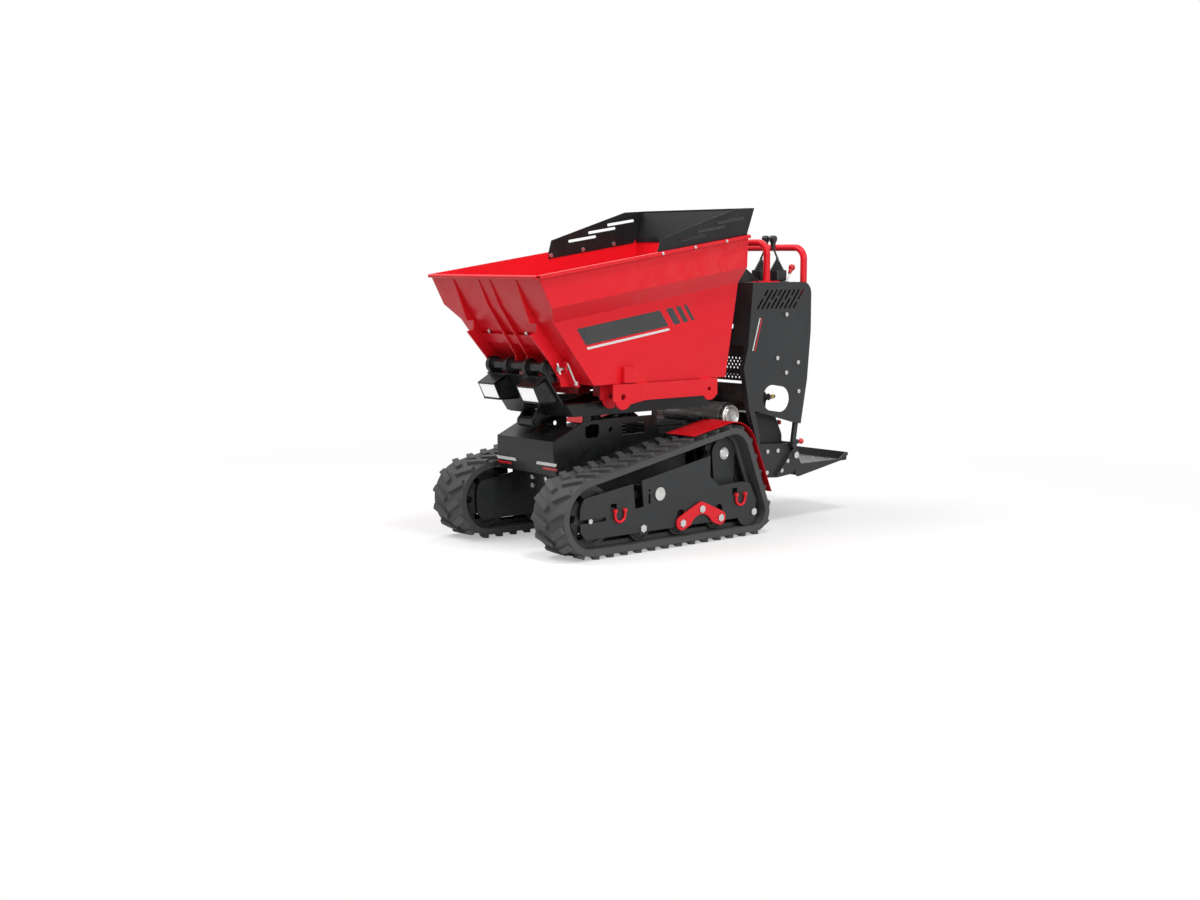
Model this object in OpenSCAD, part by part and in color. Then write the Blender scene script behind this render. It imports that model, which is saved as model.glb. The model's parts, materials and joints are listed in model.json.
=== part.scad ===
// Tracked power carrier with a front-tipping skip, sizes in millimetres.
// Plus x is the machine's left side, minus y is forward and the ground is z = 0.
// Stations along the machine (y) count from the front of the tracks.

/* [Tracks] */
// Distance between the two belt centres
gauge = 620; // [600:2:660]
// Width of one rubber belt
belt_w = 180; // [174:2:196]
// Thickness of the belt without its tread
belt_t = 24; // [20:1:27]
// Height of the tread bars
lug_h = 14; // [10:1:16]
// Width of a tread bar along the belt
lug_w = 26; // [20:1:30]
// Angle of the tread bars
lug_angle = 28; // [15:1:32]
// Wanted distance between tread bars
lug_pitch = 68; // [64:1:90]
// Height of the guide ridges inside the belt
guide_h = 14; // [8:1:15]
// Width of a guide ridge
guide_w = 12; // [8:1:13]
// Depth of the centre groove for the sprocket teeth
groove_d = 6; // [4:1:8]

/* [Wheels] */
// Radius of the front idler wheel
idler_r = 116; // [112:1:120]
// Station of the idler
idler_y = 132; // [126:1:140]
// Radius that the belt takes round the sprocket
sprocket_r = 80; // [78:1:84]
// Station of the sprocket
sprocket_y = 845; // [835:1:855]
// Height of the sprocket
sprocket_z = 328; // [322:1:334]
// Number of sprocket teeth
sprocket_teeth = 9; // [7:1:12]
// Radius of the rear roller
rear_r = 53; // [50:1:56]
// Station of the rear roller
rear_y = 970; // [964:1:976]
// Radius of the front bottom roller
roller_r = 50; // [46:1:54]
// Station of the front bottom roller
roller_y = 382; // [372:1:392]
// Radius of the bogie rollers
bogie_r = 46; // [42:1:47]
// Distance between the wheels' two rims
rim_gap = 76; // [74:1:80]
// Width of one rim
rim_w = 16; // [12:1:17]
// Radius of the roller axles
axle_r = 10; // [8:0.5:12]
// Radius of the idler axle
idler_axle_r = 15; // [12:1:18]
// Running clearance of shafts in their bores
run_gap = 0.05; // [0.03:0.01:0.08]
// Clearance of a wheel on the belt
wheel_gap = 0.3; // [0.25:0.05:0.6]

/* [Bogie] */
// Station of the bogie pivot
bogie_y = 676.5; // [670:0.5:683]
// Height of the bogie pivot
bogie_z = 132; // [128:1:138]
// Distance from the pivot to each bogie roller
bogie_half = 101.5; // [96:0.5:106]
// Radius of the pivot tube
bogie_tube_r = 18; // [16:1:22]
// Radius of the pivot bolt
bogie_pin_r = 12; // [9:0.5:13]
// Radius of the red plate round its bolts
bogie_lobe_r = 28; // [24:1:30]
// Radius of the arch under the red plate
bogie_arch_r = 62; // [56:1:68]

/* [Track frame] */
// Thickness of the frame plates
frame_t = 8; // [6:1:9]
// Distance from the belt's edge to the frame's outer face
frame_inset = 16; // [15:1:18]
// Height of the frame's bottom edge
frame_bottom = 74; // [70:1:78]
// Radius of the cross tube
tube_r = 25; // [20:1:28]
// Station of the front cross tube
tube_y = 465; // [455:1:475]
// Height of the cross tubes
tube_z = 210; // [202:1:218]
// Diameter of the motor hub plate
motor_plate_d = 124; // [116:1:130]
// Radius of a drive motor
motor_r = 55; // [48:1:60]
// Radius of the motor shaft
motor_shaft_r = 20; // [16:1:22]
// Radius of the bright cap on the motor shaft
motor_cap_r = 24; // [23:1:26]
// Thickness of the fender sheet
fender_t = 3; // [2:0.5:4]
// Gap between the tread and the fender
fender_gap = 7; // [5:1:12]
// Station of the fender's front edge
fender_front = 625; // [600:5:660]
// Height of the fender's rear tip
fender_tip_z = 165; // [140:5:220]

/* [Chassis] */
// Width of the chassis over its side plates
chassis_w = 340; // [330:2:356]
// Thickness of the chassis plates
chassis_t = 8; // [6:1:10]
// Height of the chassis floor
chassis_bottom = 180; // [174:1:184]
// Height of the chassis' top edge
chassis_top = 480; // [476:1:488]
// Station of the chassis' rear end
chassis_rear = 1085; // [1075:1:1095]
// Station of the front cover's face
cover_y = 128; // [122:1:134]
// Height of the front cover's top
cover_top = 411; // [404:1:418]
// Height where the cover starts to lean back
cover_band = 358; // [350:1:366]
// Height of the cover's lower edge
cover_bottom = 282; // [274:1:290]
// Thickness of the cover sheet
cover_t = 4; // [3:0.5:5]

/* [Tipping frame] */
// Station of the skip's hinge
hinge_y = 110; // [107:1:113]
// Height of the skip's hinge
hinge_z = 683; // [679:1:688]
// Radius of the hinge shaft
shaft_r = 20; // [16:1:22]
// Radius of the bearing lugs on the shaft
lug_r = 33; // [31:1:35]
// Half distance between the middle bearing lugs
lug_in = 57; // [52:1:62]
// Half distance between the outer bearing lugs
lug_out = 164; // [158:1:168]
// Width of a longitudinal beam
beam_w = 50; // [44:1:52]
// Height of a longitudinal beam
beam_h = 48; // [44:1:50]
// Wall of the beams
beam_t = 4; // [3:0.5:6]
// Height of the beams' underside
beam_z = 500; // [496:1:504]
// Distance between the beams' centres
beam_gauge = 350; // [340:2:354]
// Station of the beams' rear end
beam_rear = 900; // [880:1:910]
// Thickness of the front plate
front_t = 8; // [6:1:10]
// Width of a front window
window_w = 100; // [84:2:102]

/* [Skip] */
// Width of the skip inside its rim
skip_w = 654; // [640:2:668]
// Width of the skip's lower part
skip_low_w = 560; // [548:2:572]
// Sheet thickness of the skip
skip_t = 4; // [3:0.5:5]
// Slope of the rim towards the rear in degrees
rim_slope = 8.2; // [7.8:0.1:8.6]
// Station of the front lip
lip_y = -66; // [-74:1:-60]
// Height of the front lip
lip_z = 1023; // [1018:1:1028]
// Drop from the rim to the upper crease
crease_1 = 125; // [115:1:132]
// Drop from the rim to the lower crease
crease_2 = 186; // [178:1:194]
// Station of the bend in the front wall
bend_y = -5; // [-10:1:0]
// Height of the bend in the front wall
bend_z = 910; // [904:1:916]
// Station of the floor's front edge
floor_front = 232; // [226:1:238]
// Station of the floor's rear edge
floor_rear = 912; // [900:1:924]
// Height of the floor's underside
floor_z = 620; // [616:1:624]
// Station of the rim's rear end
rim_rear = 985; // [978:1:992]
// Width of the rolled rim
rim_roll = 13; // [10:1:16]
// Thickness of the ribs
rib_t = 8; // [6:1:9]
// Half distance between the centre ribs
rib_in = 34; // [32:1:36]
// Half distance between the outer ribs
rib_out = 190; // [187:1:193]
// Half distance between the bottom side rails
rail_x = 299; // [292:1:304]
// Thickness of the side rails
rail_t = 8; // [6:1:10]
// Radius of the hole in the front lifting ears
ear_hole_r = 11; // [8:0.5:13]
// Radius of the hole in the rear lifting ears
rear_hole_r = 8; // [6:0.5:10]

/* [Spill boards] */
// Thickness of the board sheet
board_t = 3; // [2:0.5:4]
// Station of the boards' front edge
board_front = 508; // [490:2:530]
// Height of the boards' front edge above the rim
board_nose = 48; // [40:1:56]
// Height of the rear board's top
board_top = 1278; // [1266:1:1290]
// Backward lean of the rear board
board_lean = 36; // [28:1:44]
// Length of a board slot
slot_len = 150; // [110:5:170]
// Width of a board slot
slot_w = 11; // [7:1:14]

/* [Tipping cylinder] */
// Station of the cylinder's base pin
base_y = 148; // [145:1:151]
// Height of the cylinder's base pin
base_z = 474; // [472:1:477]
// Station of the rod eye under the skip
eye_y = 560; // [550:1:570]
// Height of the rod eye
eye_z = 562; // [559:1:565]
// Radius of the cylinder barrel
barrel_r = 27; // [24:1:30]
// Length of the barrel from its base pin
barrel_len = 330; // [315:1:345]
// Radius of the rod
rod_r = 14; // [12:0.5:14.5]
// Radius of the rod eye
eye_r = 21; // [19:1:23]

/* [Engine bay] */
// Radius of the muffler
muffler_r = 42; // [36:1:44]
// Station of the muffler's axis
muffler_y = 1020; // [1014:1:1026]
// Height of the muffler's axis
muffler_z = 452; // [446:1:456]
// Radius of the perforated muffler guard
guard_r = 54; // [50:1:57]
// Left end of the muffler
muffler_end = 200; // [192:1:208]
// Length of the muffler
muffler_len = 400; // [380:2:420]
// Width of the engine's crankcase
engine_w = 250; // [230:2:270]

/* [Tower] */
// Width over the tower's side panels
tower_w = 560; // [550:2:580]
// Thickness of the panel sheet
panel_t = 3; // [2:0.5:4]
// Height of the console's top
console_z = 987; // [980:1:994]
// Station of the panel's front edge at the top
panel_front = 1065; // [1058:1:1072]
// Station of the panel's rear edge
panel_rear = 1408; // [1400:1:1416]
// Radius of the panel's rear top corner
panel_corner = 48; // [40:1:54]
// Width of the front return flange
return_w = 93; // [80:1:106]
// Radius of the oblong hole
oblong_r = 52; // [46:1:56]
// Radius of the hand bars
bar_r = 14; // [12:1:16]
// Bend radius of the hand bars
bar_bend = 48; // [42:1:56]
// Height of the front guard bar's axis
guard_z = 1145; // [1136:1:1152]
// Station of the front guard bar
guard_y = 1161; // [1155:1:1167]
// Height of the rear hand bar's axis
hand_z = 1126; // [1118:1:1134]
// Station of the rear hand bar
hand_y = 1380; // [1374:1:1384]

/* [Controls] */
// Station of the travel levers
lever_y = 1280; // [1272:1:1288]
// Centre of the lever pair
lever_x = 161; // [154:1:168]
// Distance between the lever boots
lever_gap = 90; // [84:1:96]
// How far each knob leans towards the other
lever_lean = 24; // [18:1:26]
// Height of the knobs' top
knob_z = 1175; // [1166:1:1182]
// Radius of a knob
knob_r = 17; // [14:0.5:18]
// Width of a boot's square base
boot_w = 56; // [50:1:60]
// Number of ribs on a boot
boot_ribs = 7; // [5:1:9]
// Radius of the throttle ball
ball_r = 14; // [11:1:16]

/* [Step] */
// Height of the step's hinge
step_z = 272; // [268:1:276]
// Station of the step's hinge
step_y = 1360; // [1356:1:1364]
// Length from the hinge to the step's tip
step_len = 350; // [330:2:370]
// Width of the step
step_w = 470; // [456:2:474]
// Drop from the hinge to the tread
tread_drop = 46; // [42:1:50]
// Height of the lip at the step's rear edge
step_lip = 30; // [22:1:36]
// Depth of the step's side flanges at the hinge end
step_deep = 48; // [40:1:54]
// Thickness of the step's sheet
step_t = 4; // [3:0.5:5]
// Radius of the hinge bolts
step_pin_r = 8; // [6:0.5:9]
// Radius of the lock knob
lock_r = 12; // [10:0.5:13]

/* [Fasteners] */
// Width across flats of the large hexagon heads
hex_large = 27; // [26:1:32]
// Width across flats of the small hexagon heads
hex_small = 17; // [13:1:19]
// Height of the hexagon heads
hex_h = 6; // [4:0.5:6]

/* [Hidden] */
$fn = 64;
eps = 1;

// Colours of the finishes
red = "#d8232e";
dark = "#3c3f41";
rubber = "#3a3a3a";
black = "#1d1e20";
bright = "#c9ccce";

// Heights and planes that follow from the driving sizes
belt_x = gauge / 2;
ground_gap = lug_h + belt_t;
idler_z = ground_gap + idler_r;
rear_z = ground_gap + rear_r;
roller_z = ground_gap + roller_r;
frame_out = belt_x + belt_w / 2 - frame_inset;
frame_in = belt_x - belt_w / 2 + frame_inset;
side_x = chassis_w / 2;
step_tip = step_y + step_len;
hem_lap = 2;
y_mid = (lip_y + hem_lap - rim_roll + step_tip) / 2;

// Belt path: the three wheels that the belt runs round, as [y, z, radius]
loop_wheels = [[idler_y, idler_z, idler_r], [sprocket_y, sprocket_z, sprocket_r],
    [rear_y, rear_z, rear_r]];
function wheel(k) = loop_wheels[k % 3];
function span(k) = [wheel(k + 1)[0] - wheel(k)[0], wheel(k + 1)[1] - wheel(k)[1]];
// Angle of the outward normal of the straight run from wheel k to the next
function run_normal(k) = let (d = span(k))
    atan2(d[1], d[0]) + acos((wheel(k)[2] - wheel(k + 1)[2]) / norm(d));
function run_len(k) = let (d = span(k), r = wheel(k)[2] - wheel(k + 1)[2])
    sqrt(norm(d) * norm(d) - r * r);
function wrap(a) = a < 0 ? a + 360 : a;
function arc_angle(k) = wrap(run_normal(k) - run_normal((k + 1) % 3));
function on_wheel(k, a, grow) = [wheel(k)[0], wheel(k)[1]] + (wheel(k)[2] + grow) * [cos(a), sin(a)];
path_lens = [for (k = [0:2]) each [run_len(k),
    (wheel(k + 1)[2] + belt_t) * arc_angle(k) * PI / 180]];
function path_start(n) = n == 0 ? 0 : path_start(n - 1) + path_lens[n - 1];
path_len = path_start(6);
lug_count = round(path_len / lug_pitch);
// Point and normal angle at distance s along the belt's outer face
function path_at(s) = let (
        n = [for (i = [0:5]) if (s >= path_start(i) && s < path_start(i + 1)) i][0],
        t = s - path_start(n), k = floor(n / 2), a = run_normal(k))
    n % 2 == 0 ? concat(on_wheel(k, a, belt_t) + t * [sin(a), -cos(a)], a)
    : let (b = a - t / (wheel(k + 1)[2] + belt_t) * 180 / PI) concat(on_wheel(k + 1, b, belt_t), b);

// Moves each edge of an anticlockwise outline inwards by t
function edge_in(a, b, t) = let (d = (b - a) / norm(b - a)) [a + t * [-d[1], d[0]], d];
function meet(p, q) = let (c = p[1][0] * q[1][1] - p[1][1] * q[1][0], w = q[0] - p[0])
    p[0] + p[1] * (w[0] * q[1][1] - w[1] * q[1][0]) / c;
function inset(pts, t) = let (n = len(pts)) [for (i = [0:n - 1])
    meet(edge_in(pts[(i + n - 1) % n], pts[i], t), edge_in(pts[i], pts[(i + 1) % n], t))];

// Brings a piece from stations to the part's own frame
module place() translate([0, -y_mid, 0]) children();
// Puts a piece on the left side or its mirror image on the right
module side(s) place() if (s > 0) children(); else mirror([1, 0, 0]) children();
module both_sides() { children(); mirror([1, 0, 0]) children(); }
// Extrudes a (y, z) outline from x0 to x1
module along_x(x0, x1) translate([x0, 0, 0]) rotate([90, 0, 90]) linear_extrude(x1 - x0) children();
// Ring round an x axis through station y and height z
module ring_x(y, z, ri, ro, x0, x1) translate([x0, y, z]) rotate([0, 90, 0]) rotate_extrude()
    translate([ri, 0]) square([ro - ri, x1 - x0]);
module rod_x(y, z, r, x0, x1) translate([x0, y, z]) rotate([0, 90, 0]) cylinder(r = r, h = x1 - x0);
module hex_x(y, z, flats, x0, h) translate([x0, y, z]) rotate([0, 90, 0])
    cylinder(r = flats / sqrt(3), h = h, $fn = 6);
// Round bar between two points
module bar(p, q, r) {
    d = q - p;
    translate(p) rotate([0, acos(d[2] / norm(d)), atan2(d[1], d[0])]) cylinder(r = r, h = norm(d));
}
// Flats run this far inside the rounds that they join, so that no two edges only touch
tuck = 0.05;
// Outline round two circles and their outer tangents
module link(p, rp, q, rq) {
    d = q - p;
    a = atan2(d[1], d[0]);
    o = acos((rp - rq) / norm(d));
    translate(p) circle(r = rp);
    translate(q) circle(r = rq);
    polygon([p + (rp - tuck) * [cos(a + o), sin(a + o)], q + (rq - tuck) * [cos(a + o), sin(a + o)],
        q + (rq - tuck) * [cos(a - o), sin(a - o)], p + (rp - tuck) * [cos(a - o), sin(a - o)]]);
}
// Rectangle with round corners from corner p to corner q
module round_rect(p, q, r) {
    translate([p[0] + r, p[1]]) square([q[0] - p[0] - 2 * r, q[1] - p[1]]);
    translate([p[0], p[1] + r]) square([q[0] - p[0], q[1] - p[1] - 2 * r]);
    for (y = [p[0] + r, q[0] - r], z = [p[1] + r, q[1] - r]) translate([y, z]) circle(r = r);
}
module box(p, q) translate(p) cube(q - p);

// Belt

module belt_loop(grow) {
    for (w = loop_wheels) translate([w[0], w[1]]) circle(r = w[2] + grow);
    in = grow - tuck;
    polygon([for (k = [0:2]) each [on_wheel(k, run_normal(k), in), on_wheel(k + 1, run_normal(k), in)]]);
}
lug_sink = 10;
lug_edge = 2;
lug_len = (belt_w / 2 - 2 * lug_edge - lug_w * sin(lug_angle)) / cos(lug_angle);
groove_w = 34;
guide_x = 22;
module belt_bar(i, h) {
    p = path_at((i + (h > 0 ? 0.5 : 0)) * path_len / lug_count);
    translate([belt_x + h * belt_w / 4, p[0], p[1]]) rotate([p[2] - 90, 0, 0]) rotate([0, 0,
        h * lug_angle])
        translate([-lug_len / 2, -lug_w / 2, -lug_sink]) cube([lug_len, lug_w, lug_sink + 2 * lug_h]);
}
module belt() {
    x0 = belt_x - belt_w / 2;
    difference() {
        along_x(x0, x0 + belt_w) difference() {
            belt_loop(belt_t);
            belt_loop(0);
        }
        along_x(belt_x - groove_w / 2, belt_x + groove_w / 2) belt_loop(groove_d);
    }
    for (x = [belt_x - guide_x - guide_w, belt_x + guide_x]) along_x(x, x + guide_w) difference() {
        belt_loop(belt_t / 2);
        belt_loop(-guide_h);
    }
    intersection() {
        along_x(x0 - eps, x0 + belt_w + eps) belt_loop(belt_t + lug_h);
        union() for (i = [0:lug_count - 1], h = [-1, 1]) belt_bar(i, h);
    }
}
module track_belt(s) color(rubber) side(s) belt();

// Wheels

rim_in = rim_gap / 2;
rim_out = rim_in + rim_w;
hub_share = 0.62;
module rimmed_wheel(y, z, r, bore, web_holes) difference() {
    union() {
        for (m = [-1, 1]) {
            c = belt_x + m * (rim_in + rim_w / 2);
            ring_x(y, z, bore, r, c - rim_w / 2, c + rim_w / 2);
        }
        ring_x(y, z, bore, (r - guide_h) * hub_share, belt_x - rim_in - eps, belt_x + rim_in + eps);
    }
    for (m = [-1, 1]) ring_x(y, z, r * 0.72, r * 0.84, belt_x + m * (rim_out - rim_w / 8) - rim_w / 8,
        belt_x + m * (rim_out - rim_w / 8) + rim_w / 8);
    for (i = [0:web_holes - 1]) rotate_about(y, z, i * 360 / web_holes)
        rod_x(y + r * 0.66, z, r * 0.13, belt_x - rim_out - eps, belt_x + rim_out + eps);
}
module rotate_about(y, z, a) translate([0, y, z]) rotate([a, 0, 0]) translate([0, -y, -z]) children();
module idler_wheel(s) color(black) side(s)
    rimmed_wheel(idler_y, idler_z, idler_r - wheel_gap, idler_axle_r + run_gap, 6);
module front_roller(s) color(black) side(s)
    rimmed_wheel(roller_y, roller_z, roller_r - wheel_gap, axle_r + run_gap, 0);
module rear_roller(s) color(black) side(s)
    rimmed_wheel(rear_y, rear_z, rear_r - wheel_gap, axle_r + run_gap, 0);
module bogie_roller(s, end) color(black) side(s)
    rimmed_wheel(bogie_y + end * bogie_half, roller_z, bogie_r, axle_r + run_gap, 0);

tooth_tip = sprocket_r + groove_d - 2;
tooth_root = sprocket_r - 12;
tooth_foot = 34;
tooth_top = 16;
sprocket_w = 24;
module drive_sprocket(s) color(dark) side(s) along_x(belt_x - sprocket_w / 2, belt_x + sprocket_w / 2)
    translate([sprocket_y, sprocket_z]) difference() {
        union() {
            circle(r = tooth_root);
            for (i = [0:sprocket_teeth - 1]) rotate(i * 360 / sprocket_teeth)
                polygon([[tooth_root - 8, -tooth_foot / 2], [tooth_tip, -tooth_top / 2],
                    [tooth_tip, tooth_top / 2], [tooth_root - 8, tooth_foot / 2]]);
        }
        circle(r = motor_shaft_r + run_gap);
        for (i = [0:5]) rotate(i * 60) translate([tooth_root * 0.66, 0]) circle(r = tooth_root * 0.13);
    }

// Bogie

bogie_plate_t = 8;
bogie_slack = 2;
bogie_face = frame_out + bogie_slack;
bogie_inner = frame_in + frame_t + bogie_slack;
bogie_inner_t = 6;
bogie_ends = [[bogie_y - bogie_half, roller_z], [bogie_y + bogie_half, roller_z]];
module bogie_outline() difference() {
    union() for (e = bogie_ends) link([bogie_y, bogie_z], bogie_lobe_r, e, bogie_lobe_r);
    translate([bogie_y, bogie_z - bogie_lobe_r - bogie_arch_r + 8]) circle(r = bogie_arch_r);
    for (e = bogie_ends) translate(e) circle(r = axle_r + run_gap);
    translate([bogie_y, bogie_z]) circle(r = bogie_pin_r + run_gap);
}
module bogie_rocker(s) color(red) side(s) {
    along_x(bogie_face, bogie_face + bogie_plate_t) bogie_outline();
    along_x(bogie_inner, bogie_inner + bogie_inner_t) bogie_outline();
    ring_x(bogie_y, bogie_z, bogie_pin_r + run_gap, bogie_tube_r, bogie_inner, bogie_face + eps);
}
bogie_head = bogie_face + bogie_plate_t;
module bogie_axles(s) color(bright) side(s) for (e = bogie_ends) {
    rod_x(e[0], e[1], axle_r, bogie_inner, bogie_head + eps);
    hex_x(e[0], e[1], hex_large, bogie_head, hex_h);
}

// Track frame

plate_nose = [[-32, 73], [-47, 53], [-54, 26], [-54, -8], [-51, -52]];
plate_lobe = [rear_y - 36, rear_z];
plate_lobe_r = rear_r;
plate_top_front = [331, 259];
plate_top_rear = [702, 326];
plate_notch = [731, 252];
plate_shelf = [[781, 210], [904, 216], [950, 206]];
window_pts = [[345, 165], [386, 169], [374, 290], [329, 290]];
slot_z = idler_z - 12;
slot_ends = [idler_y - 62, idler_y + 62];
slot_r = 7;
key_y = tube_y - 50;
key_r = 5;
hook_y = [264, 893];
hook_z = 168;
hook_hole = [30, 26];
hook_r = 26;
hook_bar = 5;
scallop_r = 21;
module frame_outline() difference() {
    union() {
        polygon([[idler_y - 28, frame_bottom], [plate_lobe[0] - plate_lobe_r, frame_bottom],
            [plate_lobe[0], plate_lobe[1]], [rear_y + axle_r, rear_z], [rear_y + axle_r + 6, rear_z + 49],
            plate_shelf[2], plate_shelf[1], plate_shelf[0], plate_notch,
            [plate_notch[0], plate_top_rear[1] + 6], plate_top_rear, plate_top_front,
            for (p = plate_nose) [idler_y, idler_z] + p]);
        translate(plate_lobe) circle(r = plate_lobe_r);
        translate([rear_y, rear_z]) circle(r = 2 * axle_r);
        translate([roller_y, roller_z]) circle(r = 2.4 * axle_r);
    }
    for (p = [[roller_y, roller_z], [rear_y, rear_z]]) translate(p) circle(r = axle_r + run_gap);
    translate([tube_y, tube_z]) circle(r = tube_r + run_gap);
    translate([bogie_y, bogie_z]) circle(r = bogie_tube_r + run_gap);
    for (e = bogie_ends) link(e, scallop_r, e + [0, 32], scallop_r - 1);
}
module outer_plate() difference() {
    frame_outline();
    polygon(window_pts);
    link([slot_ends[0], slot_z], slot_r, [slot_ends[1], slot_z], slot_r);
    translate([key_y, tube_z + 17]) circle(r = key_r);
    link([key_y, tube_z], key_r, [key_y, tube_z - 30], key_r);
    for (y = hook_y) translate([y - hook_r - hook_hole[0] / 2, hook_z]) square(hook_hole);
}
module motor_outline() {
    translate([sprocket_y, sprocket_z]) circle(d = motor_plate_d);
    polygon([[sprocket_y - motor_plate_d / 2, sprocket_z], [sprocket_y - motor_plate_d / 2 + 12, shelf_z],
        [sprocket_y + motor_plate_d / 2 - 6, shelf_z], [sprocket_y + motor_plate_d / 2, sprocket_z]]);
}
shelf_z = 203;
motor_plate_x = belt_x + sprocket_w / 2 + 12;
motor_plate_t = 6;
stay_bars = [[[tube_y - tube_r - 18, 176], [tube_y - tube_r - 4, 236]], [[640, 196], [712, 212]],
    [[880, 168], [930, 196]]];
module track_frame(s) color(dark) side(s) {
    along_x(frame_out - frame_t, frame_out) outer_plate();
    along_x(frame_in, frame_in + frame_t) difference() {
        union() {
            frame_outline();
            motor_outline();
        }
        translate([sprocket_y, sprocket_z]) circle(r = motor_r + run_gap);
    }
    along_x(motor_plate_x, motor_plate_x + motor_plate_t) difference() {
        motor_outline();
        translate([sprocket_y, sprocket_z]) circle(r = motor_shaft_r + run_gap);
    }
    box([frame_in, plate_shelf[0][0], shelf_z], [frame_out, plate_shelf[1][0], shelf_z + 8]);
    for (b = stay_bars) box([frame_in, b[0][0], b[0][1]], [frame_out - eps, b[1][0], b[1][1]]);
}
module drive_motors() color(black) place() both_sides() {
    rod_x(sprocket_y, sprocket_z, motor_r, side_x, belt_x - sprocket_w / 2 - 3);
    rod_x(sprocket_y, sprocket_z, motor_shaft_r, side_x, motor_plate_x + motor_plate_t);
    rod_x(sprocket_y, sprocket_z, motor_cap_r, motor_plate_x + motor_plate_t, motor_plate_x + motor_plate_t + 5);
}
slider_y = idler_y - 9;
module track_axles() color(bright) place() both_sides() {
    for (p = [[roller_y, roller_z], [rear_y, rear_z]]) {
        rod_x(p[0], p[1], axle_r, frame_in, frame_out + eps);
        hex_x(p[0], p[1], hex_large, frame_out, hex_h);
    }
    rod_x(bogie_y, bogie_z, bogie_pin_r, frame_in + frame_t, bogie_head + 0.3 + eps);
    hex_x(bogie_y, bogie_z, hex_large, bogie_head + 0.3, hex_h - 0.3);
}
yoke_in = rim_out + 2;
yoke_t = 8;
yoke_h = 36;
yoke_end = idler_y + idler_r + 14;
ram_r = 22;
module track_tensioners() color(bright) place() both_sides() {
    for (m = [-1, 1]) {
        x = belt_x + m * (yoke_in + yoke_t / 2) - yoke_t / 2;
        along_x(x, x + yoke_t) link([idler_y, idler_z], yoke_h / 2, [yoke_end, idler_z + 8], yoke_h / 2);
    }
    rod_x(idler_y, idler_z, idler_axle_r, belt_x - yoke_in - eps, belt_x + yoke_in + eps);
    box([belt_x - yoke_in - eps, yoke_end - 6, idler_z - 10], [belt_x + yoke_in + eps, yoke_end + 10,
        idler_z + 60]);
    translate([belt_x, yoke_end, tube_z - 6]) rotate([-90, 0, 0]) {
        cylinder(r = ram_r - 6, h = stay_bars[0][0][0] - yoke_end);
        translate([0, 0, 40]) cylinder(r = ram_r, h = stay_bars[0][0][0] - yoke_end - 60);
    }
    rod_x(slider_y, slot_z, slot_r - 0.5, belt_x + yoke_in + eps, frame_out + eps);
    hex_x(slider_y, slot_z, hex_small, frame_out, hex_h);
}
// Fender sheet at a set distance above the tread, from its front edge over the sprocket to its tip
fender_r = sprocket_r + belt_t + lug_h + fender_gap;
fender_c = [sprocket_y, sprocket_z];
fender_a = run_normal(0);
fender_tip = [rear_y + 88, fender_tip_z];
fender_b = let (d = fender_tip - fender_c) atan2(d[1], d[0]) + acos((fender_r + fender_t) / norm(d));
function polar(r, a) = fender_c + r * [cos(a), sin(a)];
fender_run = (sprocket_y + fender_r * cos(fender_a) - fender_front) / sin(fender_a);
fender_in_x = belt_x - belt_w / 2 + 24;
module fender_outline() {
    back = [-sin(fender_a), cos(fender_a)] * fender_run;
    inner = polar(fender_r, fender_a);
    outer = polar(fender_r + fender_t, fender_a);
    lap = back * 8 / norm(back);
    polygon([inner - lap, outer - lap, outer + back, inner + back]);
    intersection() {
        difference() {
            translate(fender_c) circle(r = fender_r + fender_t);
            translate(fender_c) circle(r = fender_r);
        }
        polygon([fender_c, polar(4 * fender_r, fender_a), polar(4 * fender_r, (fender_a + fender_b) / 2),
            polar(4 * fender_r, fender_b)]);
    }
    t = fender_t * [cos(fender_b), sin(fender_b)];
    on = polar(fender_r + fender_t, fender_b);
    v = 8 * (fender_tip - on) / norm(fender_tip - on);
    polygon([on - t - v, fender_tip - t, fender_tip, on - v]);
}
module fenders() color(red) place() both_sides()
    along_x(fender_in_x, belt_x + belt_w / 2) fender_outline();
// Arm from the chassis side, between motor and belt, that lies on the fender
arm_w = 20;
arm_t = 6;
arm_x = belt_x - belt_w / 2 - 2 * arm_t;
arm_z = sprocket_z + motor_r + 4;
arm_top = sprocket_z + fender_r + fender_t + run_gap;
module fender_arm() {
    y0 = sprocket_y - arm_w / 2;
    y1 = sprocket_y + arm_w / 2;
    box([side_x - eps, y0, arm_z], [arm_x + arm_t, y1, arm_z + arm_t]);
    box([arm_x, y0, arm_z], [arm_x + arm_t, y1, arm_top + arm_t]);
    box([arm_x, y0, arm_top], [fender_in_x + arm_w, y1, arm_top + arm_t]);
}
// Lashing hooks hang in front of their holes
module lashing_hooks() color(red) place() both_sides() for (y = hook_y)
    translate([frame_out + hook_bar, y, hook_z - 18]) {
        rotate([0, 90, 0]) rotate([0, 0, -90]) rotate_extrude(angle = 180) translate([hook_r - 2, 0])
            circle(r = hook_bar);
        for (m = [-1, 1]) translate([0, m * (hook_r - 2), 0]) {
            cylinder(r = hook_bar, h = 16);
            translate([-hook_bar, 0, 18]) rotate([0, 90, 0]) cylinder(r = hook_bar + 2,
                h = 2 * hook_bar + 1);
        }
    }

// Chassis

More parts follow.
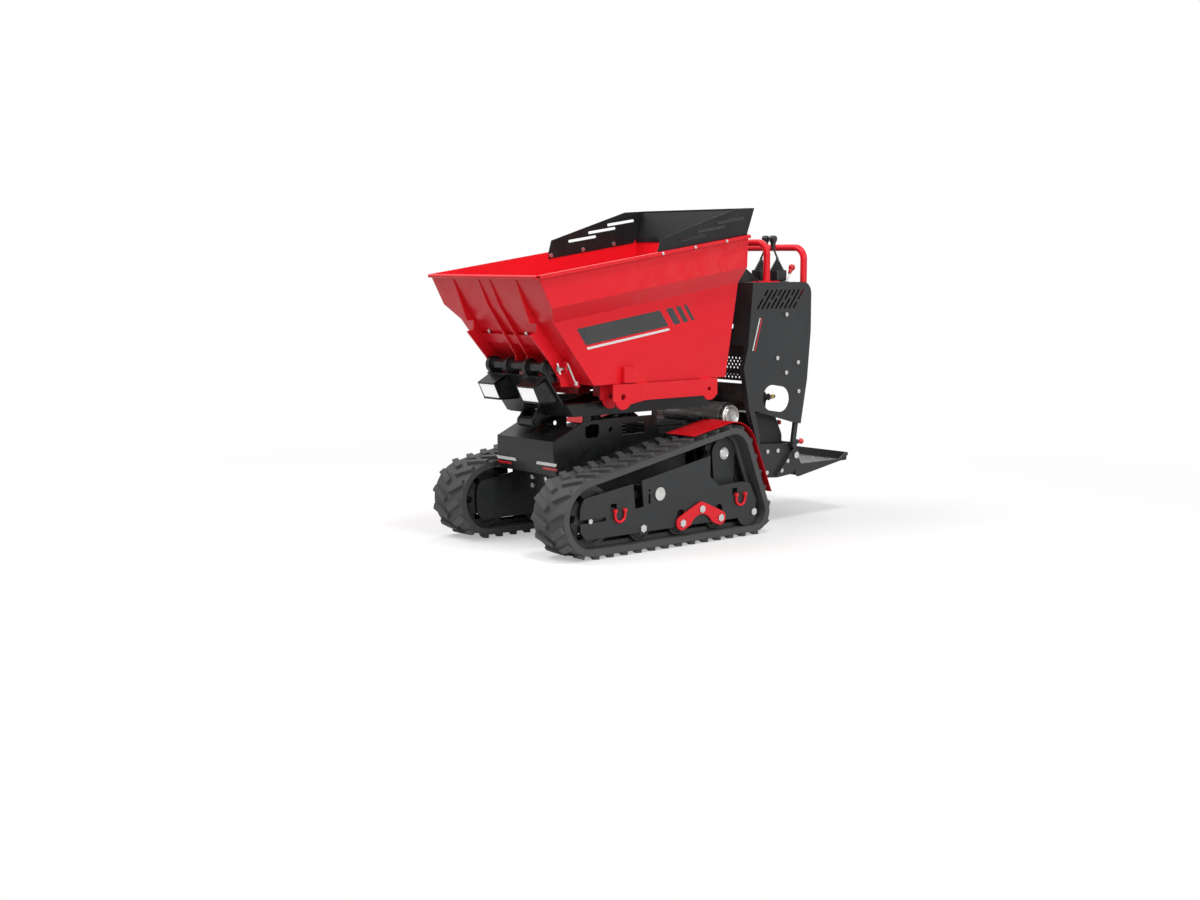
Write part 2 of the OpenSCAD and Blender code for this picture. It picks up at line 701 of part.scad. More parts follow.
cover_lean = 15;
front_line = [[cover_y, cover_top], [cover_y, cover_band], [cover_y + cover_lean, cover_bottom]];
recess_y = 200;
ramp_y = 276;
bed_y = 640;
bed_z = 300;
notch_y = [622, 652];
notch_z = 436;
side_low = 405;
side_window = [[284, 412], [352, 463]];
long_window = [[468, 414], [586, 456]];
module chassis_side() difference() {
    polygon(concat([for (i = [2:-1:0]) front_line[i] + [cover_t, 0]], [[cover_y + cover_t, cover_top],
        [ramp_y, chassis_top - 4], [ramp_y + 100, chassis_top], [notch_y[0], chassis_top],
        [notch_y[0], notch_z], [notch_y[1], notch_z], [notch_y[1] + 14, side_low],
            [chassis_rear, side_low],
        [chassis_rear, chassis_bottom], [recess_y, chassis_bottom], [recess_y, cover_bottom]]));
    round_rect(side_window[0], side_window[1], 14);
    translate([(side_window[1][0] + long_window[0][0]) / 2, 437]) circle(r = 10);
    translate(long_window[0]) square(long_window[1] - long_window[0]);
    translate([muffler_y, muffler_z]) circle(r = guard_r + 4);
}
rear_tube_y = 742;
guard_plate_t = chassis_t - 2;
plate_bolts = [[42, 222], [42, 254]];
module chassis_frame() color(dark) place() {
    difference() {
        union() {
            both_sides() {
                along_x(side_x - chassis_t, side_x) chassis_side();
                fender_arm();
            }
            box([-side_x, recess_y, chassis_bottom], [side_x, chassis_rear,
                chassis_bottom + guard_plate_t]);
            box([-side_x, recess_y, chassis_bottom], [side_x, recess_y + chassis_t, cover_top - cover_t]);
            box([-side_x, chassis_rear - chassis_t, chassis_bottom], [side_x, chassis_rear, bed_z + 60]);
            box([-side_x, bed_y, bed_z - chassis_t], [side_x, chassis_rear, bed_z]);
        }
        for (y = [tube_y, rear_tube_y]) rod_x(y, tube_z, tube_r + run_gap, -side_x - eps, side_x + eps);
    }
    both_sides() for (p = plate_bolts) translate([p[0], recess_y, p[1]]) rotate([90, 0, 0])
        cylinder(r = hex_small / sqrt(3), h = hex_h, $fn = 6);
}
deck_end = [236, 458];
module front_cover() color(dark) place() {
    along_x(-side_x, side_x) polygon(concat(front_line, [for (i = [2:-1:0])
        front_line[i] + [cover_t, 0]]));
    inner = side_x - chassis_t;
    along_x(-inner, inner) polygon([[cover_y + eps, cover_top - cover_t], [cover_y + eps, cover_top],
        deck_end,
        deck_end - [0, cover_t]]);
    box([-inner, cover_y + cover_lean + cover_t - eps, cover_bottom], [inner, recess_y,
        cover_bottom + cover_t]);
}
cap_h = 5;
module cross_tubes() color(bright) place() {
    difference() {
        rod_x(tube_y, tube_z, tube_r, -frame_out - cap_h, frame_out + cap_h);
        rod_x(tube_y, tube_z, tube_r - 5, -frame_out + cap_h, frame_out - cap_h);
    }
    difference() {
        rod_x(rear_tube_y, tube_z, tube_r, -frame_in, frame_in);
        rod_x(rear_tube_y, tube_z, tube_r - 5, -frame_in - eps, frame_in + eps);
    }
}

// Tipping frame

beam_x = beam_gauge / 2;
beam_top = beam_z + beam_h;
apron_top = [hinge_y - 22, hinge_z - lug_r];
apron_low = [hinge_y + 88, beam_z - 2];
apron_half = lug_out + 16;
apron_slope = (apron_low[0] - apron_top[0]) / (apron_top[1] - apron_low[1]);
// Point in the middle of the apron's sheet at height z
function in_apron(z) = [apron_top[0] + (apron_top[1] - z) * apron_slope + front_t / 2, z];
apron_back = front_t * [cos(atan(apron_slope)), sin(atan(apron_slope))];
window_mid = 118;
window_z = [560, 626];
hood_tip = [hinge_y - 75, hinge_z - 71];
sill_tip = hinge_y - 46;
flap_t = 6;
lug_foot = 53;
lug_half = 10;
slot_half = barrel_r + 6;
slot_top = 578;
pad_y = 800;
pad_r = 22;
seat_gap = 0.3;
module apron() difference() {
    along_x(-apron_half, apron_half) polygon([apron_top, apron_low, apron_low + apron_back,
        apron_top + apron_back]);
    for (m = [-1, 1]) box([m * window_mid - window_w / 2, apron_top[0] - eps, window_z[0]],
        [m * window_mid + window_w / 2, 2 * apron_low[0], window_z[1]]);
    box([-slot_half, apron_top[0], apron_low[1] - eps], [slot_half, 2 * apron_low[0], slot_top]);
}
// Hood and sill of a window, bent forwards out of the apron
module window_flaps() {
    polygon([in_apron(apron_top[1]), hood_tip + [0, flap_t], hood_tip,
        in_apron(apron_top[1] - 2 * flap_t)]);
    polygon([[sill_tip, window_z[0] - flap_t], in_apron(window_z[0] - flap_t), in_apron(window_z[0]),
        [sill_tip, window_z[0]]]);
}
module beam() difference() {
    along_x(beam_x - beam_w / 2, beam_x + beam_w / 2) polygon([in_apron(beam_top), [beam_rear, beam_top],
        [beam_rear, beam_z],
        in_apron(beam_z)]);
    box([beam_x - beam_w / 2 + beam_t, apron_low[0] + beam_h / 2, beam_z + beam_t],
        [beam_x + beam_w / 2 - beam_t, beam_rear + eps, beam_top - beam_t]);
}
module hinge_lug(x) difference() {
    along_x(x - lug_half, x + lug_half) {
        translate([hinge_y, hinge_z]) circle(r = lug_r);
        polygon([[hinge_y - lug_r + tuck, hinge_z], [hinge_y + lug_r - tuck, hinge_z],
            [hinge_y + lug_r - tuck, hinge_z - lug_foot], in_apron(hinge_z - lug_foot),
                in_apron(apron_top[1] - flap_t)]);
    }
    rod_x(hinge_y, hinge_z, bush_r + run_gap, x - lug_half - eps, x + lug_half + eps);
}
module tip_subframe() color(dark) place() {
    both_sides() {
        beam();
        along_x(side_x - chassis_t, side_x) {
            translate([notch_y[0] + 4, notch_z]) square([notch_y[1] - notch_y[0] - 8,
                beam_z - notch_z + beam_t]);
            polygon([[ramp_y, chassis_top - 4], [ramp_y + 36, chassis_top - 2.56],
                [ramp_y + 36, beam_z + beam_t],
                [ramp_y, beam_z + beam_t]]);
        }
        for (x = [lug_in, lug_out]) hinge_lug(x);
        along_x(window_mid - window_w / 2, window_mid + window_w / 2) window_flaps();
        translate([beam_x, pad_y, beam_top - eps]) cylinder(r = pad_r,
            h = bolster_z - seat_gap - beam_top + eps);
        along_x(base_half + 1.5, base_half + 1.5 + lug_t) difference() {
            union() {
                translate([base_y, base_z]) circle(r = base_lug_r);
                polygon([[base_y - 0.8 * base_lug_r, base_z + 8], in_apron(apron_low[1] + 44),
                    in_apron(apron_low[1] + 1),
                    [base_y + base_lug_r / 2, base_z - 0.7 * base_lug_r]]);
            }
            translate([base_y, base_z]) circle(r = base_pin_r + run_gap);
        }
    }
    apron();
    box([-beam_x, beam_rear - 60, beam_z + 2], [beam_x, beam_rear - 20, beam_top - 2]);
}
base_half = slot_half;
eye_half = 14;
lug_t = 10;
base_lug_r = 22;
base_pin_r = 12;
shaft_end = rib_out - rib_t / 2;
module hinge_shaft() color(black) place() rod_x(hinge_y, hinge_z, shaft_r, -shaft_end, shaft_end);

// Skip

bush_r = shaft_r + 5;
rim_dir = [cos(rim_slope), sin(rim_slope)];
rim_z = function (y) lip_z + (y - lip_y) * tan(rim_slope);
over = 60;
// Side view of the skip, carried above its rim so that the inner walls run out at the top
lip_lean = (bend_y - lip_y) / (lip_z - bend_z);
skip_rise = rim_z(rim_rear) + over;
rear_break = [rim_rear - 7, rim_z(rim_rear) - crease_2];
skip_side = [[floor_front, floor_z], [floor_rear, floor_z], rear_break, [rim_rear, rim_z(rim_rear)],
    [rim_rear, skip_rise], [lip_y - lip_lean * (skip_rise - lip_z), skip_rise], [bend_y, bend_z]];
// Cross-section of the skip, measured square to the rim
skip_cross = [[skip_low_w / 2, -2 * over - floor_z], [skip_low_w / 2, -crease_2 * cos(rim_slope)],
    [skip_w / 2, -crease_1 * cos(rim_slope)], [skip_w / 2, over], [-skip_w / 2, over],
    [-skip_w / 2, -crease_1 * cos(rim_slope)], [-skip_low_w / 2, -crease_2 * cos(rim_slope)],
    [-skip_low_w / 2, -2 * over - floor_z]];
skip_reach = 1600;
module on_rim() translate([0, lip_y, lip_z]) rotate([rim_slope, 0, 0]) children();
module skip_body(t) intersection() {
    along_x(-skip_w, skip_w) polygon(inset(skip_side, t));
    on_rim() translate([0, skip_reach, 0]) rotate([90, 0, 0]) linear_extrude(2 * skip_reach)
        polygon(inset(skip_cross, t));
}
roll_t = 3;
roll_lap = 6;
// Rolled edge: an open C that hangs outside the sheet
module roll_outline() difference() {
    square([rim_roll, rim_roll]);
    translate([-eps, roll_t]) square([rim_roll - roll_t + eps, rim_roll - 2 * roll_t]);
    translate([-eps, -eps]) square([roll_lap + eps, roll_t + 2 * eps]);
}
rim_run = (rim_rear - lip_y) / cos(rim_slope);
module skip_shell() color(red) place() {
    difference() {
        skip_body(0);
        skip_body(skip_t);
        on_rim() translate([-skip_w, -skip_reach, 0]) cube([2 * skip_w, 3 * skip_reach, skip_reach]);
    }
    both_sides() on_rim() translate([skip_w / 2 - eps, rim_run, -rim_roll]) rotate([90, 0, 0])
        linear_extrude(rim_run) union() {
            translate([eps, 0]) roll_outline();
            translate([0, rim_roll - roll_t]) square([rim_roll, roll_t]);
        }
    translate([-skip_w / 2, lip_y + hem_lap, lip_z]) rotate([90, 0, 90]) linear_extrude(skip_w)
        difference() {
        union() {
            translate([-rim_roll / 2, -rim_roll / 2]) circle(d = rim_roll);
            translate([-rim_roll / 2, -rim_roll / 2]) square([rim_roll / 2 + 1, rim_roll / 2]);
        }
        translate([-rim_roll / 2, -rim_roll / 2]) circle(d = rim_roll - 2 * roll_t);
    }
    on_rim() box([-skip_w / 2, rim_run - eps, -rim_roll], [skip_w / 2, rim_run + rim_roll / 2, 0]);
}
wall_slope = (floor_front - bend_y) / (bend_z - floor_z);
function wall_y(z) = bend_y + (bend_z - z) * wall_slope;
function lip_wall_y(z) = lip_y + (lip_z - z) * lip_lean;
rib_top = lip_z - rim_roll - 6;
rib_low = floor_z - 6;
notch_top = bend_z - 60;
bar_z = [766, 802];
bar_t = 15;
module centre_rib() difference() {
    polygon([[lip_wall_y(rib_top), rib_top], [lip_wall_y(rib_top) - 3, rib_top],
        [bend_y - 12, bend_z + 4],
        [hinge_y + 4, hinge_z + shaft_r + 18], [hinge_y, hinge_z], [wall_y(hinge_z), hinge_z],
            [bend_y, bend_z]]);
    translate([hinge_y, hinge_z]) circle(r = shaft_r + run_gap);
}
module outer_rib() polygon([[lip_wall_y(rib_top), rib_top], [lip_wall_y(rib_top) - 3, rib_top],
    [bend_y - 19, bend_z + 7], [bend_y + 8, notch_top], [bend_y + 40, notch_top],
        [bend_y + 38, notch_top - 34],
    [bend_y + 8, notch_top - 41], [hinge_y - 20, hinge_z + 29], [hinge_y + 32, hinge_z - 43],
    [hinge_y + 38, rib_low], [wall_y(floor_z), rib_low], [wall_y(floor_z), floor_z], [bend_y, bend_z]]);
ear_y = 360;
ear_z = 572;
ear_r = 26;
rear_ear = [806, 580];
rail_top = floor_z;
rail_low = 555;
rail_front = 310;
rail_rear = 850;
twin_x = 220;
bolster_z = 556;
bolster_y = [430, 770];
bolster_w = 60;
pocket = [[362, 432], [624, 684]];
module front_ear() {
    translate([ear_y, ear_z - 8]) circle(r = ear_r + 14);
    translate([rail_front, ear_z - 12]) square([ear_y + 2 * ear_r - rail_front, rail_top - ear_z + 12]);
}
module rail_outline() difference() {
    union() {
        front_ear();
        translate([rail_front, rail_low]) square([rail_rear - rail_front, rail_top - rail_low]);
        link(rear_ear, 40, rear_ear + [4, -4], 40);
        polygon([[ear_y + 30, ear_z - 30], [ear_y + 112, rail_low], [ear_y + 30, rail_low + 20]]);
    }
    translate([rail_front - 50, rail_top]) square([rail_rear, 100]);
    translate([rail_rear, rail_low - 80]) square([80, 200]);
    translate([ear_y, ear_z]) circle(r = ear_hole_r);
    translate(rear_ear) circle(r = rear_hole_r);
}
module skip_frame() color(red) place() {
    both_sides() {
        along_x(rib_in - rib_t / 2, rib_in + rib_t / 2) centre_rib();
        along_x(rib_out - rib_t / 2, rib_out + rib_t / 2) outer_rib();
        along_x(rail_x - rail_t, rail_x) rail_outline();
        along_x(twin_x, twin_x + rail_t) difference() {
            front_ear();
            translate([ear_y, ear_z]) circle(r = ear_hole_r);
        }
        box([skip_low_w / 2, pocket[0][0], pocket[1][0]], [skip_low_w / 2 + 22, pocket[0][0] + 5,
            pocket[1][1]]);
        box([skip_low_w / 2, pocket[0][1] - 5, pocket[1][0]], [skip_low_w / 2 + 22, pocket[0][1],
            pocket[1][1]]);
        along_x(skip_low_w / 2 + 17, skip_low_w / 2 + 22) polygon([[pocket[0][0], pocket[1][0]],
            [pocket[0][1], pocket[1][0]],
            [pocket[0][1], pocket[1][1]], [pocket[0][0], pocket[1][1]]]);
    }
    along_x(-rib_out, rib_out) polygon([[wall_y(bar_z[1]) - bar_t, bar_z[1]], [wall_y(bar_z[0]) - bar_t,
        bar_z[0]],
        [wall_y(bar_z[0]), bar_z[0]], [wall_y(bar_z[1]), bar_z[1]]]);
    for (y = bolster_y) difference() {
        box([-rail_x + rail_t / 2, y, bolster_z], [rail_x - rail_t / 2, y + bolster_w, floor_z]);
        box([-rail_x, y + 5, bolster_z - eps], [rail_x, y + bolster_w - 5, floor_z - 5]);
        box([-barrel_r - 15, y - eps, bolster_z - eps], [barrel_r + 15, y + bolster_w + eps,
            floor_z - 14]);
    }
    for (y = bolster_y, m = [-1, 1]) box([m * beam_x - pad_r - 4, y, bolster_z],
        [m * beam_x + pad_r + 4, y + bolster_w, bolster_z + 6]);
    for (m = [-1, 1]) {
        x = m * (eye_half + 1 + lug_t / 2);
        along_x(x - lug_t / 2, x + lug_t / 2) {
            translate([eye_y, eye_z]) circle(r = eye_r + 3);
            translate([eye_y - 60, floor_z - 20]) square([120, 20]);
            polygon([[eye_y - 60, floor_z - 20], [eye_y - eye_r, eye_z], [eye_y + eye_r, eye_z],
                [eye_y + 60, floor_z - 20]]);
        }
        hex_x(eye_y, eye_z, hex_large, m > 0 ? x + lug_t / 2 : x - lug_t / 2 - 9, 9);
    }
    stay_tab();
}
stay_x = rib_out + 26;
stay_top = [149, 704];
stay_foot = [193, 609];
stay_r = 3.5;
pin_z = 683;
pin_r = 6;
stay_side = pin_r + stay_r + 2;
tab_y = [139, 145];
module stay_tab() {
    difference() {
        box([rib_out, tab_y[0], pin_z - 16], [stay_x + stay_side + 4, tab_y[1], stay_top[1] + 6]);
        translate([stay_x, tab_y[0] - eps, pin_z]) rotate([-90, 0, 0]) cylinder(r = pin_r + run_gap,
            h = 20);
    }
    box([rib_out, stay_foot[0] - 10, rib_low], [stay_x + stay_side + 8, stay_foot[0] + 12, rib_low + 6]);
}
module stay_rod() color(bright) place() {
    top = [stay_x + stay_side, tab_y[1] + stay_r, stay_top[1]];
    foot = [stay_x + stay_side, stay_foot[0], rib_low + 6];
    difference() {
        bar(top, foot - (top - foot) * 0.1, stay_r);
        translate(foot - [40, 60, 40]) cube([80, 120, 40]);
    }
    translate(foot - [0, 2, 0]) cylinder(r = stay_r + 3, h = 14);
}
pin_head = 115;
pin_tail = 168;
module stay_pin() color(bright) place() {
    translate([stay_x, pin_head, pin_z]) rotate([-90, 0, 0]) {
        cylinder(r = pin_r, h = pin_tail - pin_head);
        cylinder(r = pin_r + 4, h = 10);
    }
    bar([stay_x - 8, pin_head + 4, pin_z + 20], [stay_x + 8, pin_head + 4, pin_z - 20], 4);
}
module hinge_bushes() color(bright) place() both_sides() for (x = [lug_in, lug_out])
    ring_x(hinge_y, hinge_z, shaft_r + run_gap, bush_r, x - 11.5, x + 11.5);

// Spill boards

board_peak = [rim_rear - 69, board_top - 6];
board_tail = [rim_rear + board_lean, board_top];
board_lap = 26;
board_pts = [[board_front, rim_z(board_front) - board_lap], [rim_rear - 20, rim_z(rim_rear - 20)
    - board_lap],
    [rim_rear - skip_t, rim_z(rim_rear - skip_t) + eps], board_tail, board_peak,
    [board_front + 13, rim_z(board_front) + board_nose], [board_front, rim_z(board_front) + 4]];
bolt_y = [board_front + 9, board_front + 176, board_front + 343];
bolt_drop = 13;
button_r = 6;
button_h = 4;
slots = [[board_front + 176, 30], [board_front + 282, 50], [board_front + 385, 68]];
board_in = skip_w / 2 - skip_t - board_t;
module side_board(s) color(dark) side(s) along_x(board_in, board_in + board_t) difference() {
    polygon(board_pts);
    for (p = slots) {
        c = [p[0], rim_z(p[0]) + p[1]];
        half = (slot_len - slot_w) / 2 * rim_dir;
        link(c - half, slot_w / 2, c + half, slot_w / 2);
    }
    for (y = bolt_y) translate([y, rim_z(y) - bolt_drop]) circle(r = 5 + run_gap);
}
module rear_board() color(dark) place() along_x(-board_in, board_in) {
    foot = rim_rear - skip_t - board_t - 1.5;
    head = board_tail[0] - board_t - skip_t;
    polygon([[foot, rim_z(rim_rear) - board_lap], [foot + board_t, rim_z(rim_rear) - board_lap],
        [foot + board_t, rim_z(rim_rear)],
        [head + board_t, board_top], [head - 5, board_top], [head - 5, board_top - board_t],
            [head - 1, board_top - board_t],
        [foot, rim_z(rim_rear)]]);
}
module board_bolts() color(bright) place() both_sides() for (y = bolt_y) {
    rod_x(y, rim_z(y) - bolt_drop, 5, board_in - 1, board_in + board_t);
    hex_x(y, rim_z(y) - bolt_drop, hex_small, board_in - 6, 6);
    rod_x(y, rim_z(y) - rim_roll / 2, button_r, skip_w / 2 + rim_roll, skip_w / 2 + rim_roll + button_h);
}

// Tipping cylinder

swing = atan2(eye_z - base_z, eye_y - base_y);
reach = norm([eye_y - base_y, eye_z - base_z]);
barrel_start = 30;
module on_cylinder() translate([0, base_y, base_z]) rotate([swing, 0, 0]) children();
module tip_barrel() color(black) place() on_cylinder() difference() {
    union() {
        rod_x(0, 0, base_lug_r - 1, -base_half, base_half);
        rod_x(0, 0, base_pin_r, -base_half - lug_t - 6, base_half + lug_t + 6);
        box([-eye_half, base_lug_r - 6, -12], [eye_half, barrel_start + eps, 12]);
        translate([0, barrel_start, 0]) rotate([-90, 0, 0]) cylinder(r = barrel_r,
            h = barrel_len - barrel_start);
        translate([0, barrel_len - 24, 0]) rotate([-90, 0, 0]) cylinder(r = barrel_r + 3, h = 24);
    }
    translate([0, barrel_start + 20, 0]) rotate([-90, 0, 0]) cylinder(r = rod_r + run_gap,
        h = barrel_len);
}
module tip_rod() color(bright) place() on_cylinder() {
    translate([0, barrel_start + 24, 0]) rotate([-90, 0, 0]) cylinder(r = rod_r,
        h = reach - eye_r - barrel_start - 22);
    rod_x(reach, 0, eye_r, -eye_half, eye_half);
}

// Engine bay

engine_y = [bed_y + 40, 950];
case_top = 352;
module engine_block() color(black) place() {
    w = engine_w / 2;
    box([-w, engine_y[0], bed_z], [w, engine_y[1], case_top]);
    translate([-20, (engine_y[0] + engine_y[1]) / 2, case_top - eps]) cylinder(r = 62, h = 30);
    for (i = [0:4]) box([-112, engine_y[0] + 30, case_top + 10 + 15 * i], [64, engine_y[1] - 40,
        case_top + 18 + 15 * i]);
    box([-96, engine_y[0] + 46, case_top - eps], [48, engine_y[1] - 56, case_top + 78]);
    rod_x((engine_y[0] + engine_y[1]) / 2, bed_z + 60, 50, -w - 28, -w + eps);
    box([70, engine_y[0] + 20, case_top - eps], [120, engine_y[1] - 60, case_top + 56]);
}
module muffler() color(bright) place() {
    rod_x(muffler_y, muffler_z, muffler_r, muffler_end - muffler_len, muffler_end);
    rod_x(muffler_y, muffler_z, guard_r - 8, muffler_end, muffler_end + 4);
    for (x = [-150, 120]) rod_x(muffler_y, muffler_z, guard_r - guard_t - run_gap, x, x + 8);
    rod_x(muffler_y, muffler_z, guard_r - 20, muffler_end, muffler_end + 9);
    for (x = [-90, 60]) box([x, muffler_y - 12, bed_z], [x + 30, muffler_y + 12,
        muffler_z - muffler_r + 4]);
}
guard_t = 2;
guard_holes = 15;
guard_rows = [-52, -26, 0, 26, 52];
hole_r = 5;
module muffler_guard() color(black) place() difference() {
    x0 = muffler_end - muffler_len + 10;
    x1 = muffler_end - 14;
    along_x(x0, x1) intersection() {
        difference() {
            translate([muffler_y, muffler_z]) circle(r = guard_r);
            translate([muffler_y, muffler_z]) circle(r = guard_r - guard_t);
        }
        translate([muffler_y - 2 * guard_r, muffler_z - 30]) square([4 * guard_r, 4 * guard_r]);
    }
    for (i = [0:guard_holes - 1], a = guard_rows) translate([x0 + (i + 0.5) * (x1 - x0)
        / guard_holes, muffler_y, muffler_z])
        rotate([a - 20, 0, 0]) translate([0, 0, muffler_r]) cylinder(r = hole_r, h = 2 * guard_r);
}
screen_y = 1092;
screen_t = 3;
screen_z = [590, 800];
screen_half = tower_w / 2 - panel_t;
screen_pitch = 20;
screen_rows = 7;
row_pitch = 13;
screen_hole = 5;
module heat_screen() color(black) place() difference() {
    box([-screen_half, screen_y, screen_z[0]], [screen_half, screen_y + screen_t, screen_z[1]]);
    n = floor((screen_half - 20) / screen_pitch);
    for (i = [-n:n], j = [0:screen_rows - 1])
        translate([(i + (j % 2) / 2) * screen_pitch, screen_y - eps, screen_z[0] + 14 + j * row_pitch])
        rotate([-90, 0, 0]) cylinder(r = screen_hole, h = screen_t + 2 * eps, $fn = 6);
}
tank_x = 226;
tank_y = [1136, 1304];
tank_z = [312, 458];
tank_r = 50;
tank_low_r = 40;
neck = [186, 1204];
neck_r = 24;
neck_h = 74;
filter_z = 516;
filter_r = 13;
filter_len = 52;
// Side view of the tank: its rear leans forwards and rounds over to the top
module tank_outline() {
    p = [tank_y[1] - tank_r - 30, tank_z[1] - tank_r];
    q = [tank_y[1] - tank_low_r, tank_z[0] + tank_low_r];
    link(p, tank_r, q, tank_low_r);
    polygon([[tank_y[0], tank_z[0]], [q[0] + tank_low_r - tuck, tank_z[0]], [q[0] + tank_low_r - tuck,
        q[1]], q, p,
        [p[0], tank_z[1] - tuck], [tank_y[0], tank_z[1] - tuck]]);
}
module hydraulic_tank() color(dark) place() {
    along_x(-tank_x, tank_x) tank_outline();
    translate([neck[0], neck[1], tank_z[1] - 2 * eps]) cylinder(r = neck_r, h = neck_h + 2 * eps);
    translate([neck[0], neck[1], filter_z]) rotate([-90, 0, 0]) cylinder(r = filter_r, h = filter_len);
}

// Tower

panel_x = tower_w / 2;
front_pts = [[1094, 352], [1049, 481], [1016, 650], [1040, 735]];
leg_w = 24;
rear_pts = [[1355, 406], [1390, 590]];
panel_low = 474;
oblong = [[1180, 522], [1230, 514]];
vent_n = 9;
vent_z = [884, 954];
vent_y = [1092, 1302];
vent_run = 56;
vent_w = 9;
panel_bolts = [[1257, 857], [1206, 682], [1329, 660], [1259, 621], [1335, 541]];
module panel_outline() difference() {
    union() {
        polygon([front_pts[0] + [leg_w, 0], front_pts[1] + [leg_w + 8, panel_low - front_pts[1][1]],
            rear_pts[0] + [-40, 6], rear_pts[0], rear_pts[1],
            [panel_rear, 786], [panel_rear, console_z - panel_corner],
                [panel_rear - panel_corner, console_z - panel_corner],
            [panel_rear - panel_corner, console_z], [panel_front, console_z], front_pts[3], front_pts[2],
                front_pts[1], front_pts[0]]);
        translate([panel_rear - panel_corner, console_z - panel_corner]) circle(r = panel_corner);
    }
    link(oblong[0], oblong_r, oblong[1], oblong_r);
    for (i = [0:vent_n - 1]) {
        y = vent_y[0] + i * (vent_y[1] - vent_y[0]) / (vent_n - 1);
        gap = [0.62, 1, 0.4][i % 3];
        low = [y, vent_z[0]];
        up = [vent_run, vent_z[1] - vent_z[0]];
        link(low, vent_w / 2, low + (gap - (gap < 1 ? 0.12 : 0)) * up, vent_w / 2);
        if (gap < 1) link(low + (gap + 0.12) * up, vent_w / 2, low + up, vent_w / 2);
    }
    for (p = panel_bolts) translate(p) circle(r = 5 + run_gap);
}
module tower_panel(s) color(dark) side(s) {
    along_x(panel_x - panel_t, panel_x) panel_outline();
    along_x(panel_x - return_w, panel_x - eps) polygon([[panel_front, console_z], front_pts[3],
        front_pts[3] + [panel_t, 0], [panel_front + panel_t, console_z]]);
    along_x(panel_x - leg_w, panel_x - eps) for (i = [0:2]) polygon([front_pts[i],
        front_pts[i] + [panel_t, 0], front_pts[i + 1] + [panel_t, 0], front_pts[i + 1]]);
}
deck_t = 5;
boot_x = [lever_x - lever_gap / 2, lever_x + lever_gap / 2];
pivot_r = 3;
cheek_t = 3;
module pivot_cheeks(x, y, z, gap) for (m = [-1, 1]) difference() {
    c = x + m * (gap + cheek_t / 2);
    box([c - cheek_t / 2, y - 24, z - 10], [c + cheek_t / 2, y + 24, console_z - deck_t + eps]);
    rod_x(y, z, pivot_r + run_gap, c - 5, c + 5);
}
hood = [[-190, 60], [1090, 1240]];
hood_z = 62;
skirt_z = 800;
skirt_half = 236;
module console_top() color(black) place() {
    inner = panel_x - panel_t;
    difference() {
        box([-inner, panel_front + panel_t, console_z - deck_t], [inner, panel_rear - panel_corner,
            console_z]);
        for (x = boot_x) translate([x, lever_y, console_z - 20]) cylinder(r = boot_w / 2 - 8, h = 40);
        box([throttle[0] - 6, throttle[1] - 14, console_z - 20], [throttle[0] + 6, throttle[1] + 30,
            console_z + 20]);
    }
    for (x = boot_x) pivot_cheeks(x, lever_y, lever_pivot, 9 + seat_gap);
    pivot_cheeks(throttle[0], throttle[1], throttle_z, 6 + seat_gap);
    skirt = panel_rear - deck_t;
    box([-inner, skirt, skirt_z], [inner, panel_rear, console_z - panel_corner]);
    along_x(-skirt_half, skirt_half) intersection() {
        translate([panel_rear - panel_corner, console_z - panel_corner]) difference() {
            circle(r = panel_corner);
            circle(r = panel_corner - deck_t);
        }
        translate([panel_rear - panel_corner, console_z - panel_corner]) square(2 * panel_corner);
    }
    along_x(hood[0][0], hood[0][1]) polygon([[hood[1][0], console_z - eps], [hood[1][1],
        console_z - eps], [hood[1][0] + 14, console_z + hood_z], [hood[1][0], console_z + hood_z]]);
    for (x = boot_x) translate([x, lever_y, console_z - eps]) difference() {
        translate([-boot_w / 2 - 3, -boot_w / 2 - 3, 0]) cube([boot_w + 6, boot_w + 6, 4]);
        translate([0, 0, -eps]) cylinder(r = boot_w / 2 - 8, h = 10);
    }
}
bar_x = panel_x - panel_t - bar_r - 3;
foot_t = 5;
foot_len = 120;
foot_w = 40;
// Tube arch across the console: two legs, two bends and the run between them
module arch(y, z, foot) {
    both_sides() {
        translate([bar_x, y, foot]) cylinder(r = bar_r, h = z - bar_bend - foot);
        translate([bar_x - bar_bend, y, z - bar_bend]) rotate([90, 0, 0]) rotate_extrude(angle = 90)
            translate([bar_bend, 0]) circle(r = bar_r);
    }
    rod_x(y, z, bar_r, -bar_x + bar_bend, bar_x - bar_bend);
}
module guard_bar() color(red) place() {
    arch(guard_y, guard_z, console_z + foot_t - eps);
    both_sides() box([bar_x - foot_w + 16, guard_y - foot_len / 2, console_z],
        [bar_x + 16, guard_y + foot_len / 2, console_z + foot_t]);
}
hand_drop = 87;
hand_foot = console_z - hand_drop;
module hand_bar() color(red) place() {
    arch(hand_y, hand_z, hand_foot);
    both_sides() box([bar_x, hand_y - 10, hand_foot + 4], [panel_x - panel_t, hand_y + 10,
        hand_foot + 34]);
}

// Controls

